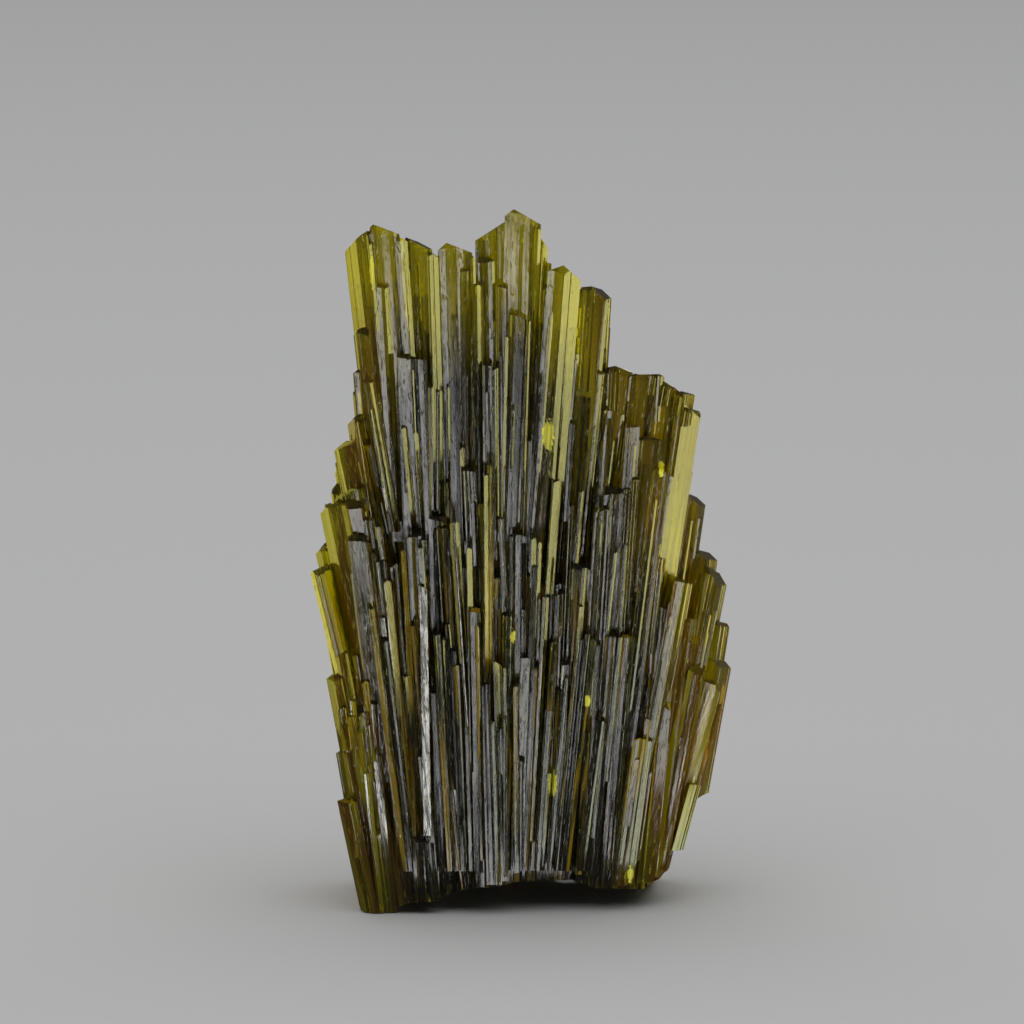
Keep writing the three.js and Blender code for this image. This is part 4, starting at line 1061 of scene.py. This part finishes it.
# painted light: the amber of light through the crystal, on faces turned aside
painted_amber = 1.0
for value, none, full in (
    (pattern["amber"], 0.46, 0.54), (turned, 0.09, 0.15), (turned, 0.5, 0.4), (z, 50, 30),
):
    share = add_node(nodes, "ShaderNodeMapRange", {0: value, 1: none, 2: full},
                     interpolation_type="SMOOTHSTEP").outputs[0]
    painted_amber = add_node(nodes, "ShaderNodeMath", {0: painted_amber, 1: share}, operation="MULTIPLY").outputs[0]

# %% [markdown]
# A few bright yellow-green spots are painted on the crystals: painted highlights, for flaws inside
# the crystal that catch the light. Each is an oval about a place on the sheet, with a ragged edge.
# Olive dust is finer, lies here and there all over, and is thickest just above the ground.

# %% Painted glints and dust
# painted highlights: spots where flaws inside the crystal catch the light
GLINT_SPOTS = [  # across and down on the sheet, half width, half height, level
    (54.8, 43.4, 0.8, 2.1, -5.2), (66.1, 46.7, 0.4, 1.2, -5), (51.3, 63.3, 0.4, 0.8, -8),
    (58.8, 69.8, 0.4, 0.8, -8), (55.3, 78, 0.6, 1.9, -8), (63.1, 87.4, 0.4, 1.1, -8),
    (37.2, 27.2, 0.3, 2.4, -4.4),
]
GLINT_DEPTH = 2.5  # mm, half its size from front to back
FAR = 9.0  # a distance, in ovals, at which there is no crust
RAGGED = 1.2  # how much the grain moves the edge of an oval
nearest = FAR
for across, down, half_wide, half_high, level in GLINT_SPOTS:
    middle = from_sheet(across, down, level) - BOX_MIDDLE
    off = add_node(nodes, "ShaderNodeVectorMath", {0: place, 1: middle},
                   operation="SUBTRACT").outputs[0]
    oval = add_node(nodes, "ShaderNodeVectorMath", {0: off, 1: (half_wide, GLINT_DEPTH, half_high)},
                    operation="DIVIDE").outputs[0]
    out = add_node(nodes, "ShaderNodeVectorMath", {0: oval}, operation="LENGTH").outputs["Value"]
    nearest = add_node(nodes, "ShaderNodeMath", {0: nearest, 1: out},
                       operation="MINIMUM").outputs[0]
ragged = add_node(nodes, "ShaderNodeMath", {0: pattern["grain"], 1: RAGGED, 2: nearest},
                  operation="MULTIPLY_ADD").outputs[0]
painted_glints = add_node(nodes, "ShaderNodeMapRange", {0: ragged, 1: 1.5, 2: 1.2},
                 interpolation_type="SMOOTHSTEP").outputs[0]
near_ground = add_node(nodes, "ShaderNodeMapRange", {0: z, 1: 6, 2: 1, 4: 0.07}).outputs[0]
dusty = add_node(nodes, "ShaderNodeMath", {0: pattern["dust"], 1: near_ground},
                 operation="ADD").outputs[0]
dust = add_node(nodes, "ShaderNodeMapRange", {0: dusty, 1: 0.64, 2: 0.72},
                interpolation_type="SMOOTHSTEP").outputs[0]
print(len(GLINT_SPOTS), "spots of crust")

# %% [markdown]
# The colours are laid over each other like coats of paint, each where its own mask says. A coat
# blends two colours by a pattern: the tips are a light yellow-green on the left and go over to
# olive brown on the right shoulder, and the sides are amber in some places and olive in others. The
# coats of the amber faces, the sides, the tips and the bright spots are painted light.

# %% The coats of colour
left_to_right = add_node(nodes, "ShaderNodeMapRange", {0: x, 1: 6, 2: 8.5},
                         interpolation_type="SMOOTHSTEP").outputs[0]
amber_to_olive = add_node(nodes, "ShaderNodeMapRange", {0: pattern["amber"], 1: 0.44, 2: 0.56},
                          interpolation_type="SMOOTHSTEP").outputs[0]
colour = linear("#000000")  # the first coat hides it everywhere
for where, blend, one, other in (
    (1.0, pattern["streaks"], "#2C2A04", "#74700C"),
    # painted light: the amber of light passing through, on faces turned aside
    (painted_amber, pattern["streaks"], "#7C5004", "#A08C08"),
    # painted light: the sides and tips are painted lighter for the glow of light through the thin
    # crystal, partly their own colour
    (sides, amber_to_olive, "#8A6602", "#847C04"),
    (tips, left_to_right, "#A0980A", "#6E6006"),
    (dust, 0.0, "#A09E14", "#A09E14"),
    # painted highlights: the bright spots of flaws inside that catch the light
    (painted_glints, 0.0, "#CCC814", "#CCC814"),
):
    coat = add_node(nodes, "ShaderNodeMix", {0: blend, 6: linear(one), 7: linear(other)},
                    data_type="RGBA").outputs[2]
    colour = add_node(nodes, "ShaderNodeMix", {0: where, 6: colour, 7: coat},
                      data_type="RGBA").outputs[2]
print(len(nodes.nodes), "nodes so far")

# %% [markdown]
# Light passes through almost all of it. Less passes at the tips and sides, where their painted glow
# is a diffuse colour, and least where there is painted amber, dust or painted glints. The faces are
# polished by nature and duller in places.
# Fine scratches run along them, and so do the etch marks: real ones are too small to show, so
# they are drawn a millimetre long. The clear tips and sides are polished twice as well.

# %% Shine, clearness and bumps
PAINTED_AMBER_SHARE = 0.9  # dust and the painted glints count in full
COLOUR_BLOCKS = -0.6  # what they take from the light that passes
GLINT_ROUGHNESS = 0.4  # what the painted glint spots add to the roughness
SCRATCH_DEPTH, PIT_DEPTH = 0.006, 0.03  # mm
dust_and_painted_light = add_node(nodes, "ShaderNodeMath", {0: painted_amber, 1: PAINTED_AMBER_SHARE},
                   operation="MULTIPLY").outputs[0]
for other in (dust, painted_glints):
    dust_and_painted_light = add_node(nodes, "ShaderNodeMath", {0: dust_and_painted_light, 1: other},
                       operation="MAXIMUM").outputs[0]
passing = add_node(nodes, "ShaderNodeMapRange", {0: clear, 3: 0.96, 4: 0.75},
                   interpolation_type="SMOOTHSTEP").outputs[0]
transmission = add_node(nodes, "ShaderNodeMath", {0: dust_and_painted_light, 1: COLOUR_BLOCKS, 2: passing},
                        operation="MULTIPLY_ADD").outputs[0]
dull = add_node(nodes, "ShaderNodeMapRange", {0: pattern["mottle"], 1: 0.38, 2: 0.68, 3: 0.07,
                                              4: 0.32}, interpolation_type="SMOOTHSTEP").outputs[0]
polish = add_node(nodes, "ShaderNodeMapRange", {0: clear, 3: 1, 4: 0.5},
                  interpolation_type="SMOOTHSTEP").outputs[0]
smooth = add_node(nodes, "ShaderNodeMath", {0: dull, 1: polish}, operation="MULTIPLY").outputs[0]
roughness = add_node(nodes, "ShaderNodeMath", {0: painted_glints, 1: GLINT_ROUGHNESS, 2: smooth},
                     operation="MULTIPLY_ADD").outputs[0]
scratched = add_node(nodes, "ShaderNodeBump", {
    "Height": pattern["scratches"], "Strength": 0.5, "Distance": SCRATCH_DEPTH * MM,
}).outputs[0]
pit_height = add_node(nodes, "ShaderNodeMapRange", {0: pattern["pits"], 1: 0.28, 2: 0.42},
                      interpolation_type="SMOOTHSTEP").outputs[0]
pitted = add_node(nodes, "ShaderNodeBump", {
    "Height": pit_height, "Strength": 0.3, "Distance": PIT_DEPTH * MM, "Normal": scratched,
}).outputs[0]

# %% The finished material: striated epidote, a glassy yellow-green that goes black in depth
shader = add_node(nodes, "ShaderNodeBsdfPrincipled", {
    "Base Color": colour, "Roughness": roughness, "Normal": pitted, "IOR": EPIDOTE_IOR,
    "Transmission Weight": transmission,
})
add_node(nodes, "ShaderNodeOutputMaterial",
         {"Surface": shader.outputs[0], "Volume": absorption.outputs[0]})
print(len(nodes.nodes), "nodes in", epidote.name)

# %% [markdown]
# ## The studio
#
# A pale matt floor, eight metres square, so that it runs to the horizon without an edge. It lies a
# hair below the cluster's standing places. The faces of the crystals are mirrors: with the floor
# left out of what they mirror, the dark gaps stay dark. The world is a faint even glow.

# %% Floor and world
FLOOR_HALF, FLOOR_DROP = 4, 0.0001  # m
floor_mesh = bpy.data.meshes.new("floor")
floor_mesh.from_pydata([(x * FLOOR_HALF, y * FLOOR_HALF, -FLOOR_DROP) for x, y in CORNERS], [],
                       [(0, 1, 2, 3)])
floor = bpy.data.objects.new("floor", floor_mesh)
bpy.context.scene.collection.objects.link(floor)
floor_paint = bpy.data.materials.new("floor_paint")  # plain pale grey, without any shine
floor_paint.use_nodes = True
paint = floor_paint.node_tree.nodes["Principled BSDF"].inputs
paint["Base Color"].default_value = linear("#D8D8D8")
paint["Roughness"].default_value = 0.8
floor_mesh.materials.append(floor_paint)
floor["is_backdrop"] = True
floor.visible_glossy = False

world = bpy.data.worlds.new("studio")
world.use_nodes = True
glow = world.node_tree.nodes["Background"].inputs
glow["Color"].default_value = linear("#E8ECF2")
glow["Strength"].default_value = 0.06  # the lamps do nearly all of the lighting
bpy.context.scene.world = world
print("a floor of", 2 * FLOOR_HALF, "by", 2 * FLOOR_HALF, "m")

# %% [markdown]
# What makes this cluster is which faces shine. A face that looks straight at the camera mirrors the
# strip of floor in front of it, so three narrow lamps lie there and draw its long grey lines. A
# face turned 20 to 45 degrees to the right mirrors the main softbox, which slopes up from close to
# the cluster, and becomes a pale yellow band. Everything turned by an angle in between mirrors
# nothing and stays dark. The lamp on the left does the same for the left edge, and the ones behind
# light the back. They shine on the crystals only, and a wide softbox overhead lights the floor.

# %% The lamps
def softbox(name, azimuth, near, far, wide, radiance, colour="#FFFFFF", shift=0):
    """A sloping softbox. near and far are its lower and upper edge: distance and height, in m.
    shift moves it to the right."""
    rise = Vector((far[0] - near[0], far[1] - near[1]))
    light = bpy.data.lights.new(name, "AREA")
    light.shape, light.size, light.size_y = "RECTANGLE", wide, rise.length
    light.energy = radiance * math.pi * wide * rise.length  # W, for that radiance
    light.color = linear(colour)[:3]
    lamp = bpy.data.objects.new(name, light)
    a = math.radians(azimuth)  # 0 is the front, 90 the right
    out = Vector((math.sin(a), -math.cos(a), 0))
    side = Vector((math.cos(a), math.sin(a), 0))
    up = (out * rise.x + Vector((0, 0, rise.y))).normalized()
    middle = out * (near[0] + far[0]) / 2 + Vector((shift, 0, (near[1] + far[1]) / 2))
    turned = Matrix((side, up, side.cross(up))).transposed().to_4x4()
    lamp.matrix_world = Matrix.Translation(middle) @ turned
    lamp.visible_camera = False
    bpy.context.scene.collection.objects.link(lamp)
    return lamp


only_crystals = bpy.data.collections.new("lit by the side lamps")
only_crystals.objects.link(solid)
only_floor = bpy.data.collections.new("lit from above")
only_floor.objects.link(floor)
for lamp in (
    # the pale bands: high up, and near the foot
    softbox("right", 66, (0.059, 0.012), (0.36, 0.42), 0.075, 4.4, "#F4F09C"),
    softbox("right_low", 66, (0.026, 0), (0.059, 0.012), 0.018, 3.4, "#E8F4E0"),
    # the grey lines: wider with the distance, so that all of it is seen under one angle
    softbox("front_near", -1, (0.012, 0.002), (0.05, 0.002), 0.006, 3.4, "#F0F0F0"),
    softbox("front_mid", -1, (0.05, 0.002), (0.14, 0.002), 0.016, 3.4, "#F0F0F0"),
    softbox("front_far", -1, (0.14, 0.002), (0.4, 0.002), 0.045, 3.4, "#F0F0F0"),
    # the white line: on the way that light takes from R to the camera
    softbox("spark_near", -13, (0.03, 0.002), (0.07, 0.002), 0.003, 9, "#FFFFF8", -0.0067),
    softbox("spark_far", -13, (0.07, 0.002), (0.2, 0.002), 0.006, 9, "#FFFFF8", -0.0067),
    # the same at the back, light through the tips, and the left edge
    softbox("behind_near", 181, (0.02, 0.002), (0.12, 0.002), 0.02, 2.6, "#F0F0F0"),
    softbox("behind_far", 181, (0.12, 0.002), (0.4, 0.002), 0.06, 2.6, "#F0F0F0"),
    softbox("back", 180, (0.02, 0), (0.5, 0.5), 0.3, 1.8),
    softbox("left", -92, (0.06, 0), (0.36, 0.36), 0.12, 2.4, "#ECE266"),
):
    lamp.light_linking.receiver_collection = only_crystals
bpy.data.objects["back"].visible_glossy = False  # it shines through the tips, nothing mirrors it
top = softbox("top", 0, (1.2, 1), (-1.2, 1), 2, 1)
top.light_linking.receiver_collection = only_floor
bpy.context.scene.view_settings.view_transform = "Standard"
print(len(bpy.data.lights), "lamps")

# %% [markdown]
# ## The camera
#
# It stands a metre away and looks down nine and a half degrees, as the drawing does. Its lens is
# worked out from the width that the picture shows at the cluster, so one sheet of the drawing is
# exactly one picture.

# %% Camera
FRAME_WIDTH = 102.4  # mm across the picture at the cluster
SENSOR = 36  # mm
camera_data = bpy.data.cameras.new("camera")
camera_data.sensor_width = SENSOR
camera_data.lens = SENSOR * VIEW_DISTANCE / FRAME_WIDTH
camera_data.clip_start, camera_data.clip_end = 0.05, 20  # m
camera = bpy.data.objects.new("camera", camera_data)
bpy.context.scene.collection.objects.link(camera)
target = (from_sheet(FRAME_WIDTH / 2, FRAME_WIDTH / 2, 0) - BOX_MIDDLE) * MM
backwards = Vector((0, -math.cos(LOOK_DOWN), math.sin(LOOK_DOWN)))
camera.location = target + backwards * VIEW_DISTANCE * MM
camera.rotation_euler = (math.radians(90) - LOOK_DOWN, 0, 0)
bpy.context.scene.camera = camera
print("lens, mm:", round(camera_data.lens, 1))

# %% [markdown]
# ## The size
#
# The finished cluster has to be as large as the imported model it replaces. Its box is printed.

low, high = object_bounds()
print("visual box, mm:", [round(v / MM, 2) for v in (*low, *high)])
